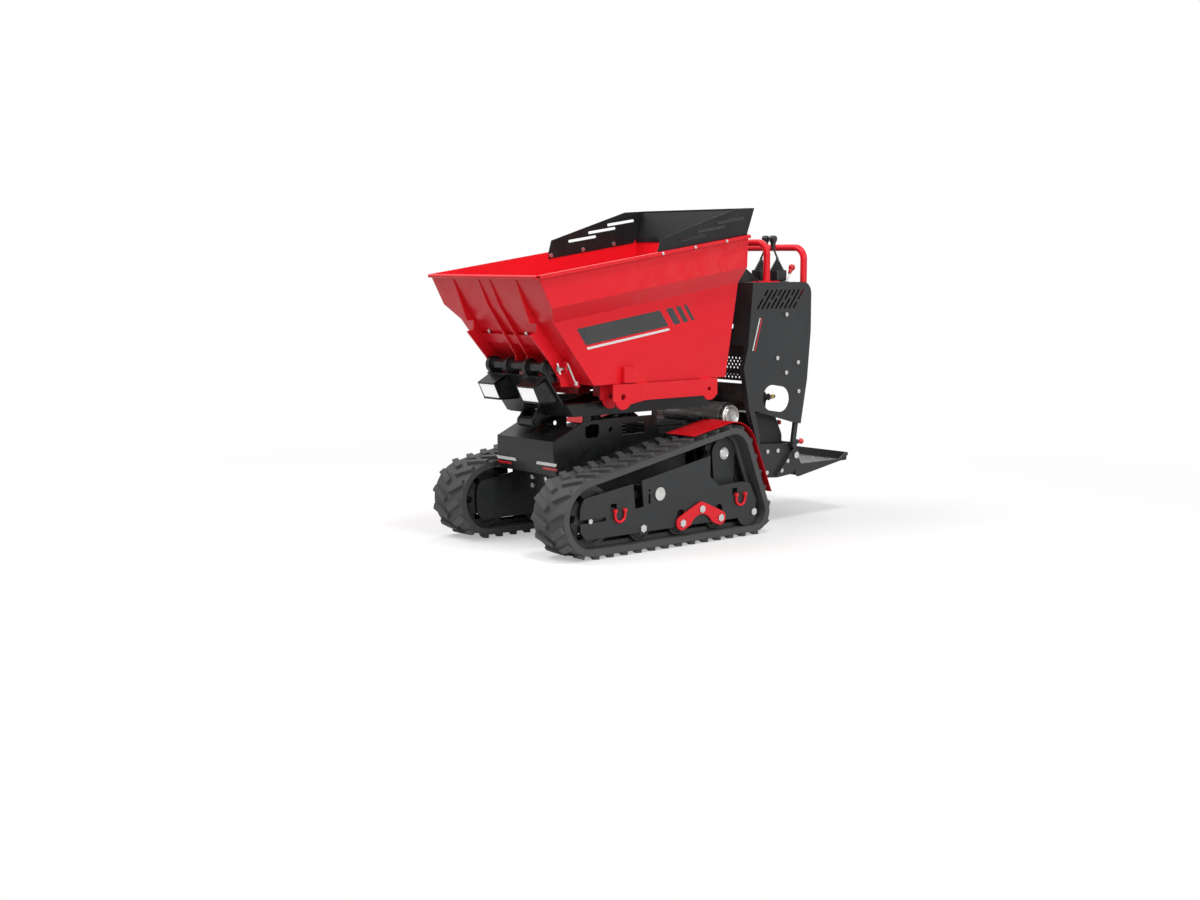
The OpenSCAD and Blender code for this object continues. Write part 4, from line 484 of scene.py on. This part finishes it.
# %% Round the plates, castings and rubber
# Each row has the start of a name and the width of the rounding in millimetres.
ROUNDED = [
    ("track_belt", 1.4), ("track_frame", 1.0), ("bogie_rocker", 1.2), ("fenders", 0.8),
    ("chassis_frame", 1.0), ("front_cover", 1.2), ("tip_subframe", 1.0), ("skip_shell", 0.7),
    ("skip_frame", 1.2), ("side_board", 0.8), ("rear_board", 0.8), ("tower_panel", 0.7),
    ("console_top", 0.8), ("rear_frame", 1.0), ("step_plate", 0.9), ("hydraulic_tank", 9),
    ("muffler", 2.5), ("drive_motors", 1.5), ("track_tensioners", 0), ("throttle_lever", 0),
    ("board_bolts", 0.6), ("tower_bolts", 0.7), ("track_axles", 0.9), ("bogie_axles", 0.9)]
ROUND = {}
for start, width in ROUNDED:
    for node in (start, start + "_left", start + "_right"):
        if node in frame["nodes"]:
            ROUND[node] = rounded(node, width)
print("rounded faces:", sum(len(piece.data.polygons) for piece in ROUND.values()))

# %% [markdown]
# ## Bright ends on dark parts
# The motors' shaft caps, the nuts of the track tensioners, the throttle's rod and the bolts under the front
# cover are bare metal on a coloured part. Where a face lies tells them apart.

# %% Two finishes on one piece
MOTOR_CAP_X = 339.9
TENSIONER_NUT_X = 384.2
THROTTLE_ROD_TOP = 1022
BOLTS_X = 60
BOLTS_STATION = 199.5
BOLTS_TOP = 270


def two_tone(piece, is_second):
    """Plates with zinc the faces whose middle, in millimetres across, along and up, passes the test."""
    piece.data.materials.append(zinc)
    for face in piece.data.polygons:
        x, y, z = (MILLI * value for value in face.center)
        if is_second(abs(x), y + MIDDLE, z):
            face.material_index = 1


def is_cover_bolt(x, station, z):
    return x < BOLTS_X and station < BOLTS_STATION and z < BOLTS_TOP


two_tone(ROUND["drive_motors"], lambda x, station, z: x > MOTOR_CAP_X)
two_tone(ROUND["track_tensioners"], lambda x, station, z: x > TENSIONER_NUT_X)
two_tone(ROUND["throttle_lever"], lambda x, station, z: z < THROTTLE_ROD_TOP)
two_tone(ROUND["chassis_frame"], is_cover_bolt)
print("finishes on the motors:", [m.name for m in ROUND["drive_motors"].data.materials])

# %% [markdown]
# ## Lever boots
# Each travel lever comes up through a rubber bellows: a square foot held on the console, then seven folds
# that narrow towards the rod. The folds are one outline spun round the rod.

# %% Outline helpers
# A small plane is merged into the first corner of an outline. Corners closer than the second size are one.
SEED_SIZE = 0.001
SAME_CORNER = 0.00001


def trace(name, points):
    """A chain of edges through the points, drawn by extruding one corner, left open in edit mode."""
    bpy.ops.object.select_all(action="DESELECT")
    bpy.ops.mesh.primitive_plane_add(size=SEED_SIZE, location=points[0])
    piece = named(name)
    settle()
    bpy.ops.object.mode_set(mode="EDIT")
    bpy.ops.mesh.select_mode(type="VERT")
    bpy.ops.mesh.select_all(action="SELECT")
    bpy.ops.mesh.merge(type="CENTER")
    for a, b in zip(points, points[1:]):
        step = [b[i] - a[i] for i in range(3)]
        bpy.ops.mesh.extrude_region_move(TRANSFORM_OT_translate={"value": step})
    return piece


def close_up(piece, finish, angle):
    """Merges doubles, turns the faces outwards, shades smooth and gives the finish. Ends edit mode."""
    bpy.ops.mesh.select_all(action="SELECT")
    bpy.ops.mesh.remove_doubles(threshold=SAME_CORNER)
    bpy.ops.mesh.normals_make_consistent(inside=False)
    bpy.ops.object.mode_set(mode="OBJECT")
    only(piece)
    bpy.ops.object.shade_smooth_by_angle(angle=math.radians(angle))
    piece.data.materials.clear()
    piece.data.materials.append(finish)
    return piece


def block(name, place, size, turn=0):
    """A box of the given size in metres, turned about the upright by an angle in degrees."""
    bpy.ops.object.select_all(action="DESELECT")
    bpy.ops.mesh.primitive_cube_add(size=1, location=place)
    piece = named(name)
    piece.scale = size
    piece.rotation_euler = (0, 0, math.radians(turn))
    settle()
    return piece


# %% Boots
LEVER_STATION = 1280
LEVER_X = {"left": 206, "right": 116}
BOOT_FOOT = 990.5
FOOT_SIDE = 58
FOOT_HEIGHT = 45
FOOT_EDGE = 6
BOOT_ANGLE = 60
BOOT_STEPS = 40
BOOT_FOLDS = 7
FOLDS_HEIGHT = 43
LOWEST_FOLD = 28.5
HIGHEST_FOLD = 9
# One fold: how far each corner lies inside the fold's radius, and above its foot.
FOLD = ((3.2, 0.4), (0.7, 1.8), (0, 2.9), (0.7, 4.0), (3.2, 5.4))
# Radius and height of the flat ends, which close the folds on the rod's axis.
LOWER_END = (25, 44.6)
UPPER_END = (4.6, 87.4)


def in_boot(x, radius, height):
    return at(x + radius, LEVER_STATION, BOOT_FOOT + height)


def boot_folds(side, x):
    outline = [(0, LOWER_END[1]), LOWER_END]
    for fold in range(BOOT_FOLDS):
        radius = LOWEST_FOLD - (LOWEST_FOLD - HIGHEST_FOLD) * fold / (BOOT_FOLDS - 1)
        foot = FOOT_HEIGHT + fold * FOLDS_HEIGHT / BOOT_FOLDS
        outline += [(radius - inside, foot + above) for inside, above in FOLD]
    outline += [UPPER_END, (0, UPPER_END[1])]
    piece = trace("lever_boot_" + side, [in_boot(x, *corner) for corner in outline])
    bpy.ops.mesh.select_all(action="SELECT")
    bpy.ops.mesh.spin(steps=BOOT_STEPS, angle=2 * math.pi, center=at(x, LEVER_STATION, 0), axis=(0, 0, 1))
    return close_up(piece, boot_rubber, BOOT_ANGLE)


def boot_foot(side, x):
    size = (metres(FOOT_SIDE), metres(FOOT_SIDE), metres(FOOT_HEIGHT))
    piece = block("boot_foot_" + side, in_boot(x, 0, FOOT_HEIGHT / 2), size)
    bpy.ops.object.mode_set(mode="EDIT")
    bpy.ops.mesh.select_all(action="SELECT")
    bpy.ops.mesh.bevel(offset=metres(FOOT_EDGE), segments=4, affect="EDGES")
    return close_up(piece, boot_rubber, BOOT_ANGLE)


for side, x in LEVER_X.items():
    foot = boot_foot(side, x)
    bellows = boot_folds(side, x)
    only(bellows)
    foot.select_set(True)
    bpy.ops.object.join()
    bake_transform(bellows)
    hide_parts("lever_boots")
    print("boot:", bellows.name, len(bellows.data.polygons), "faces")

# %% [markdown]
# ## Step tread
# The folding step is trodden with muddy boots, so its plate carries raised bars that alternate in
# direction. One bar is a cube with a narrowed top; two Array modifiers repeat it, and a second set is turned
# and set between the first.

# %% Tread bars
TREAD_TOP = 226
TREAD_ANGLE = 30
BAR_SIZE = (0.026, 0.0075, 0.0026)
BAR_LIFT = 0.0008
BAR_PITCH = 0.056
NARROWED = 0.72
FACES_UP = 0.9

tread_grey = paint("trodden grey", (0.11, 0.112, 0.115), grey(0.4), gloss=(0.35, 0.55), wear_and_highlight=0.7, peel=500)


def repeat(piece, offset, count):
    apply_modifier(piece, "row", "ARRAY", use_relative_offset=False, use_constant_offset=True,
                   constant_offset_displace=offset, count=count)


def tread_bars(name, x, station, turn, across, along):
    bars = block(name, (0, 0, BAR_LIFT), BAR_SIZE, turn)
    bpy.ops.object.mode_set(mode="EDIT")
    bpy.ops.mesh.select_mode(type="FACE")
    bpy.ops.mesh.select_all(action="DESELECT")
    bpy.ops.object.mode_set(mode="OBJECT")
    for face in bars.data.polygons:
        face.select = face.normal.z > FACES_UP
    bpy.ops.object.mode_set(mode="EDIT")
    bpy.ops.transform.resize(value=(NARROWED, NARROWED, 1))
    bpy.ops.object.mode_set(mode="OBJECT")
    repeat(bars, (BAR_PITCH, 0, 0), across)
    repeat(bars, (0, BAR_PITCH, 0), along)
    bars.location = at(x, station, TREAD_TOP)
    settle(rotation=False, scale=False)
    bpy.ops.object.mode_set(mode="EDIT")
    return close_up(bars, tread_grey, TREAD_ANGLE)


first = tread_bars("step_tread", x=-196, station=1424, turn=45, across=8, along=5)
second = tread_bars("step_tread_b", x=-168, station=1452, turn=-45, across=7, along=4)
only(first)
second.select_set(True)
bpy.ops.object.join()
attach(first, "step")
print("tread faces:", len(first.data.polygons))

# %% [markdown]
# ## Perforated guard
# The silencer lies under a sheet with many small holes. One square of the sheet is made from a plane: its
# face is inset, the corners of the inner face are cut to make an eight-sided hole, and that face is deleted.
# An Array modifier makes a strip of squares, a spin sets strips side by side round the silencer, and a
# Solidify modifier gives the sheet its gauge.

# %% Guard sheet
# Station and height of the silencer's axis.
SILENCER = (1020, 452)
GUARD_R = 53.5
GUARD_ENDS = (-190, 186)
GUARD_CELL = 8.0
GUARD_ARC = math.radians(246)
GUARD_ANGLE = 20
GUARD_GAUGE = 1.2
HOLE_INSET = 0.0016
HOLE_CORNER = 0.0014


def thicken(piece, gauge):
    apply_modifier(piece, "gauge", "SOLIDIFY", thickness=metres(gauge), offset=0)


def guard_sheet():
    cells = int((GUARD_ENDS[1] - GUARD_ENDS[0]) / GUARD_CELL)
    turns = int(GUARD_ARC * GUARD_R / GUARD_CELL)
    chord = 2 * GUARD_R * math.tan(GUARD_ARC / turns / 2)
    lean = GUARD_ARC / 2
    bpy.ops.object.select_all(action="DESELECT")
    bpy.ops.mesh.primitive_plane_add(size=1, location=(0, 0, 0))
    sheet = named("guard_sheet")
    sheet.scale = (metres(GUARD_CELL), metres(chord), 1)
    settle()
    bpy.ops.object.mode_set(mode="EDIT")
    bpy.ops.mesh.select_mode(type="FACE")
    bpy.ops.mesh.select_all(action="SELECT")
    bpy.ops.mesh.inset(thickness=HOLE_INSET)
    bpy.ops.mesh.bevel(offset=HOLE_CORNER, segments=1, affect="VERTICES")
    bpy.ops.object.mode_set(mode="OBJECT")
    hole = min(sheet.data.polygons, key=lambda face: face.center.length)
    for face in sheet.data.polygons:
        face.select = face == hole
    bpy.ops.object.mode_set(mode="EDIT")
    bpy.ops.mesh.delete(type="FACE")
    bpy.ops.object.mode_set(mode="OBJECT")
    repeat(sheet, (metres(GUARD_CELL), 0, 0), cells)
    sheet.rotation_euler = (lean, 0, 0)
    settle(location=False, scale=False)
    sheet.location = at(GUARD_ENDS[0] + GUARD_CELL / 2, SILENCER[0] - GUARD_R * math.sin(lean),
                        SILENCER[1] + GUARD_R * math.cos(lean))
    settle(rotation=False, scale=False)
    bpy.ops.object.mode_set(mode="EDIT")
    bpy.ops.mesh.select_all(action="SELECT")
    bpy.ops.mesh.spin(steps=turns, angle=GUARD_ARC, dupli=True, center=at(0, *SILENCER), axis=(1, 0, 0))
    close_up(sheet, guard_steel, GUARD_ANGLE)
    thicken(sheet, GUARD_GAUGE)
    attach(sheet, CARRIER["muffler_guard"])
    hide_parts("muffler_guard")
    return sheet


print("guard faces:", len(guard_sheet().data.polygons))

# %% [markdown]
# ## Baffle under the heat screen
# A thin folded sheet closes the tower's front below the perforated screen, with a narrow gap between them.
# Its section is traced, drawn out across the machine from panel to panel, and thickened.

# %% Baffle
BAFFLE = ((1093, 470), (1093, 577), (1106, 577))
BAFFLE_SIDE = 277
BAFFLE_GAUGE = 2
SHEET_ANGLE = 30


def section(x, points):
    """Corner points at one distance across the machine, each given by its station and height."""
    return [at(x, station, z) for station, z in points]


baffle = trace("screen_baffle", section(-BAFFLE_SIDE, BAFFLE))
bpy.ops.mesh.select_all(action="SELECT")
bpy.ops.mesh.extrude_region_move(TRANSFORM_OT_translate={"value": (metres(2 * BAFFLE_SIDE), 0, 0)})
close_up(baffle, iron_paint, SHEET_ANGLE)
thicken(baffle, BAFFLE_GAUGE)
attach(baffle, CARRIER["heat_screen"])
print("baffle faces:", len(baffle.data.polygons))


# %% [markdown]
# ## Small turned parts
# Beads on the silencer's end and on the motor caps, the tank's brass fitting and its red plug, and two bolt
# heads on the skip's front wall. Each is a ring or a short cylinder with a softened edge.

# %% Turned part helpers
def bead(name, place, ring, wire, finish, body="machine"):
    """A ring about an axis that runs across the machine."""
    bpy.ops.object.select_all(action="DESELECT")
    bpy.ops.mesh.primitive_torus_add(location=at(*place), rotation=(0, math.pi / 2, 0),
                                     major_radius=metres(ring), minor_radius=metres(wire),
                                     major_segments=64, minor_segments=14)
    piece = named(name)
    settle()
    bpy.ops.object.mode_set(mode="EDIT")
    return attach(close_up(piece, finish, angle=60), body)


def peg(name, place, radius, length, finish, sides=32, lean=0, body="machine"):
    """A short cylinder that points forward; lean tips its front end down, in degrees."""
    bpy.ops.object.select_all(action="DESELECT")
    bpy.ops.mesh.primitive_cylinder_add(vertices=sides, radius=metres(radius), depth=metres(length),
                                        location=at(*place),
                                        rotation=(math.pi / 2 + math.radians(lean), 0, 0))
    piece = named(name)
    settle()
    apply_modifier(piece, "edges", "BEVEL", width=0.0008, segments=2, limit_method="ANGLE",
                   angle_limit=math.radians(50))
    bpy.ops.object.mode_set(mode="EDIT")
    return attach(close_up(piece, finish, angle=40), body)


# %% Turned parts
# Station and height of the motors' axis, and places across and up of the filter and the tank's plug.
MOTOR = (845, 328)
FILTER_X = 186
FILTER_Z = 516
PLUG_X = 212
PLUG_Z = 410
HEXAGON = 6
SIDES = (("left", 1), ("right", -1))
SILENCER_RIM_X = 203
SILENCER_DISH_X = 208.5
MOTOR_RING_X = 345
# Station and height of the bolts on the skip's front wall, the wall's lean, and where the bolts are across.
WALL = (71, 811)
WALL_LEAN = 39.3
WALL_BOLTS = {"left": 90, "right": -138}

bead("silencer_rim", (SILENCER_RIM_X, *SILENCER), ring=43.5, wire=4.0, finish=silencer_steel)
bead("silencer_dish", (SILENCER_DISH_X, *SILENCER), ring=31.0, wire=2.4, finish=silencer_steel)
for side, sign in SIDES:
    bead("motor_ring_" + side, (sign * MOTOR_RING_X, *MOTOR), ring=18.5, wire=3.0, finish=zinc)
peg("filter_collar", (FILTER_X, 1260, FILTER_Z), radius=15, length=8, finish=zinc, sides=HEXAGON)
peg("filter_fitting", (FILTER_X, 1271, FILTER_Z), radius=10, length=22, finish=brass)
peg("filter_cap", (FILTER_X, 1287, FILTER_Z), radius=8, length=12, finish=black_plastic)
peg("tank_neck", (PLUG_X, 1279, PLUG_Z), radius=7, length=24, finish=tank_plastic)
peg("tank_plug", (PLUG_X, 1294, PLUG_Z), radius=10, length=13, finish=red_plastic)
for side, x in WALL_BOLTS.items():
    peg("wall_bolt_" + side, (x, *WALL), radius=8, length=12, finish=zinc, sides=HEXAGON, lean=WALL_LEAN,
        body="skip")
print("turned parts made")


# %% [markdown]
# ## Plain vinyl stripes
# The skip's sides carry a cut-vinyl band. Vinyl is a flat sheet, so each stripe is an outline filled with
# one face and given a hair's thickness. The design is plain: one long slanted band, a pale line under it
# and three slanted bars.

# %% Flat sheet helper
def flat_sheet(name, outline, out, finish, body, corner=4):
    """An outline of corner points, filled with one face and thickened by the vector out, in millimetres."""
    piece = trace(name, outline)
    bpy.ops.mesh.select_all(action="SELECT")
    bpy.ops.mesh.edge_face_add()
    bpy.ops.mesh.bevel(offset=metres(corner), segments=3, affect="VERTICES")
    bpy.ops.mesh.select_all(action="SELECT")
    bpy.ops.mesh.extrude_region_move(TRANSFORM_OT_translate={"value": [metres(v) for v in out]})
    close_up(piece, finish, SHEET_ANGLE)
    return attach(piece, body)


# %% Vinyl
VINYL_GLOSS = (0.25, 0.4)
VINYL_PEBBLE = 1500
VINYL_HEIGHT = 0.00002


def vinyl(name, colour, bloom_colour, **constants):
    return moulded(name, colour, bloom_colour, VINYL_GLOSS, VINYL_PEBBLE, VINYL_HEIGHT, **constants)


grey_vinyl = vinyl("grey vinyl", (0.032, 0.034, 0.036), grey(0.05))
white_vinyl = vinyl("white vinyl", (0.82, 0.82, 0.81), grey(0.7))
red_vinyl = vinyl("red vinyl", (0.6, 0.01, 0.016), (0.5, 0.01, 0.012))
print("vinyl:", [m.name for m in (grey_vinyl, white_vinyl, red_vinyl)])

# %% Skip stripes
SKIP_SIDE = 280
VINYL = 0.4
# Station and height of the rim's front end, and the rim's slope in degrees.
RIM_STATION = -66
RIM_Z = 1023
RIM_SLOPE = 8.2
# A stripe's upper and lower edge are measured down from the rim. Its lean is how far it slants back.
BAND = {"top": 225, "foot": 292, "lean": 44}
LINE = {"top": 300, "foot": 309, "lean": 6}
# Start and width of the three bars.
BARS = ((590, 34), (640, 25), (682, 16))


def on_side(x, station, drop):
    """A point on the skip's side, measured down from the sloping rim."""
    rim = RIM_Z + (station - RIM_STATION) * math.tan(math.radians(RIM_SLOPE))
    return at(x, station, rim - drop)


def slanted(x, start, end, top, foot, lean):
    return [on_side(x, start, top), on_side(x, end, top), on_side(x, end + lean, foot),
            on_side(x, start + lean, foot)]


for side, sign in SIDES:
    x = sign * SKIP_SIDE
    out = (sign * VINYL, 0, 0)
    flat_sheet("skip_band_" + side, slanted(x, start=150, end=560, **BAND), out, grey_vinyl, "skip")
    flat_sheet("skip_line_" + side, slanted(x, start=196, end=606, **LINE), out, white_vinyl, "skip")
    for number, (start, wide) in enumerate(BARS):
        corners = slanted(x, start, start + wide, **BAND)
        flat_sheet("skip_bar_%s_%d" % (side, number), corners, out, grey_vinyl, "skip")
print("skip stripes made on both sides")

# %% Tower stripes
TOWER_SIDE = 280
TOWER_LINES = ((1062, white_vinyl), (1074, red_vinyl))
TOWER_FOOT = 716
TOWER_HEAD = 846
TOWER_WIDE = 6
TOWER_LEAN = 40
TOWER_CORNER = 1.5

for side, sign in SIDES:
    for number, (start, finish) in enumerate(TOWER_LINES):
        head = start + TOWER_LEAN
        line = ((start, TOWER_FOOT), (start + TOWER_WIDE, TOWER_FOOT), (head + TOWER_WIDE, TOWER_HEAD),
                (head, TOWER_HEAD))
        flat_sheet("tower_line_%s_%d" % (side, number), section(sign * TOWER_SIDE, line),
                   (sign * VINYL, 0, 0), finish, "machine", TOWER_CORNER)
print("tower stripes made")

# %% Cover stripes
# The cover's lower face leans: from its upper edge it goes back by a run while it comes down by a fall.
COVER_STATION = 128
COVER_Z = 358
COVER_RUN = 15
COVER_FALL = 76
COVER_OUT = (0, -0.4, -0.08)
COVER_SLANT = 6
# Lower and upper edge, inner and outer end, and finish.
COVER_LINES = ((318, 330, 60, 178, white_vinyl), (302, 311, 92, 178, red_vinyl))


def on_cover(x, z):
    """A point on the cover's leaning lower face."""
    return at(x, COVER_STATION + COVER_RUN * (COVER_Z - z) / COVER_FALL, z)


for number, (low, high, inner, outer, finish) in enumerate(COVER_LINES):
    ends = ((inner, low), (outer, low), (outer + COVER_SLANT, high), (inner + COVER_SLANT, high))
    for side, sign in SIDES:
        corners = [on_cover(sign * x, z) for x, z in ends]
        flat_sheet("cover_line_%s_%d" % (side, number), corners, COVER_OUT, finish, "machine")
print("cover stripes made")

# %% [markdown]
# ## Window boxes
# Each hooded window of the tipping frame is a shallow box. Flat cheeks close its two sides between hood and
# sill, and a pale panel fills its mouth. The panel's skin is as smooth as vinyl, and it glows a little, so
# that it stays pale in the shade under the hood.

# %% Cheeks and panels
WINDOW_MIDDLE = 118
WINDOW_HALF = 48
CHEEK_GAUGE = 2
CHEEK = ((37, 615), (66, 556), (156, 556), (93, 646))
PANEL_TOP = (39.5, 614)
PANEL_FOOT = (67, 561)
PANEL_OUT = (0, 2.6, 1.2)

# The panel glows though it is no lamp: painted light that keeps it pale in the shade under the hood.
glowing_panel_white = vinyl("glowing panel white", grey(0.9), grey(0.82), Emission_Color=opaque(grey(1)),
                    Emission_Strength=0.45)
for side, sign in SIDES:
    middle = sign * WINDOW_MIDDLE
    for edge, x in (("in", -WINDOW_HALF - CHEEK_GAUGE), ("out", WINDOW_HALF)):
        flat_sheet("window_cheek_%s_%s" % (side, edge), section(middle + x, CHEEK), (CHEEK_GAUGE, 0, 0),
                   black_gloss, "machine")
    low = middle - WINDOW_HALF
    high = middle + WINDOW_HALF
    corners = [at(low, *PANEL_TOP), at(high, *PANEL_TOP), at(high, *PANEL_FOOT), at(low, *PANEL_FOOT)]
    flat_sheet("window_panel_" + side, corners, PANEL_OUT, glowing_panel_white, "machine")
print("window boxes closed")

# %% [markdown]
# ## Console fairing
# A folded sheet covers the console's hood and reaches nearer to the levers. Its side outline is drawn out
# across.

# %% Fairing
FAIRING = ((1090, 987), (1090, 1052), (1138, 1052), (1240, 988))
FAIRING_X = 152
FAIRING_WIDTH = 344

flat_sheet("console_fairing", section(FAIRING_X, FAIRING), (-FAIRING_WIDTH, 0, 0), grey_powder, "machine")
print("fairing made")

# %% [markdown]
# ## Floor and background
# The background is white. The floor is plain and pale, keeps the soft shadow under the tracks, and turns to
# plain white further out, so that no horizon shows. Only rays from the camera, and those that mirror or
# pass through, see the white.

# %% Floor
FLOOR_SIZE = 40
FLOOR_TONE = 0.64
FLOOR_LIFT = 0.39
# Metres from the machine's middle between which the floor turns to plain white.
FADE_FROM = 1.6
FADE_TO = 3.6

bpy.ops.object.select_all(action="DESELECT")
bpy.ops.mesh.primitive_plane_add(size=FLOOR_SIZE, location=(0, 0, 0))
floor = bpy.context.active_object
floor.name = "studio_floor"
floor_white = bpy.data.materials.new("floor white")
floor_white.use_nodes = True
tree = floor_white.node_tree
shader = tree.nodes["Principled BSDF"]
shader.inputs["Base Color"].default_value = opaque(grey(FLOOR_TONE))
shader.inputs["Roughness"].default_value = 1.0
shader.inputs["Specular IOR Level"].default_value = 0.0


def seen(tree):
    """1 for rays from the camera and for mirrored or passing rays, 0 for the light that falls on things."""
    rays = tree.nodes.new("ShaderNodeLightPath").outputs
    looking = combine(tree, "MAXIMUM", rays["Is Camera Ray"], rays["Is Glossy Ray"])
    return combine(tree, "MAXIMUM", looking, rays["Is Transmission Ray"])


lift = tree.nodes.new("ShaderNodeEmission")
feed(tree, lift.inputs["Strength"], times(tree, seen(tree), FLOOR_LIFT))
near = tree.nodes.new("ShaderNodeAddShader")
tree.links.new(shader.outputs[0], near.inputs[0])
tree.links.new(lift.outputs[0], near.inputs[1])
far = tree.nodes.new("ShaderNodeEmission")
feed(tree, far.inputs["Strength"], seen(tree))
distance = tree.nodes.new("ShaderNodeVectorMath")
distance.operation = "LENGTH"
feed(tree, distance.inputs[0], object_place(tree))
mix = tree.nodes.new("ShaderNodeMixShader")
feed(tree, mix.inputs[0], spread(tree, distance.outputs["Value"], FADE_FROM, FADE_TO))
tree.links.new(near.outputs[0], mix.inputs[1])
tree.links.new(far.outputs[0], mix.inputs[2])
tree.links.new(mix.outputs[0], tree.nodes["Material Output"].inputs["Surface"])
floor.data.materials.append(floor_white)
print("floor laid")

# %% World
WORLD_LIGHT = 0.37

world = bpy.data.worlds.new("studio")
world.use_nodes = True
scene.world = world
tree = world.node_tree
background = tree.nodes["Background"]
background.inputs["Color"].default_value = opaque(grey(1))
feed(tree, background.inputs["Strength"], spread(tree, seen(tree), 0.0, 1.0, to_low=WORLD_LIGHT))
print("world ready")

# %% [markdown]
# ## Light
# Four soft boxes light the machine: a large one over its front, a small one over its side, a large one
# beside the camera and a weaker one behind. Large lamps give the long soft reflections that show a painted
# sheet's shape.

# %% Lamps
# Name, place, the point it is aimed at, size in metres and power in watts.
LAMPS = (
    ("over_front", (-1.6, -2.6, 4.6), (0, 0, 0.4), 3.2, 130),
    ("over_side", (1.7, -0.7, 4.8), (0.2, 0, 0.6), 1.1, 70),
    ("beside_camera", (5.0, -1.2, 2.6), (0, 0, 0.6), 3.0, 113),
    ("behind", (-2.5, 4.0, 3.4), (0, 0, 0.6), 2.5, 50))

for name, place, aim, size, watts in LAMPS:
    bpy.ops.object.select_all(action="DESELECT")
    bpy.ops.object.light_add(type="AREA", location=place)
    lamp = bpy.context.active_object
    lamp.name = name
    lamp.data.shape = "DISK"
    lamp.data.size = size
    lamp.data.energy = watts
    toward = [b - a for a, b in zip(place, aim)]
    flat = math.hypot(toward[0], toward[1])
    lamp.rotation_euler = (math.atan2(flat, -toward[2]), 0, math.atan2(-toward[0], toward[1]))
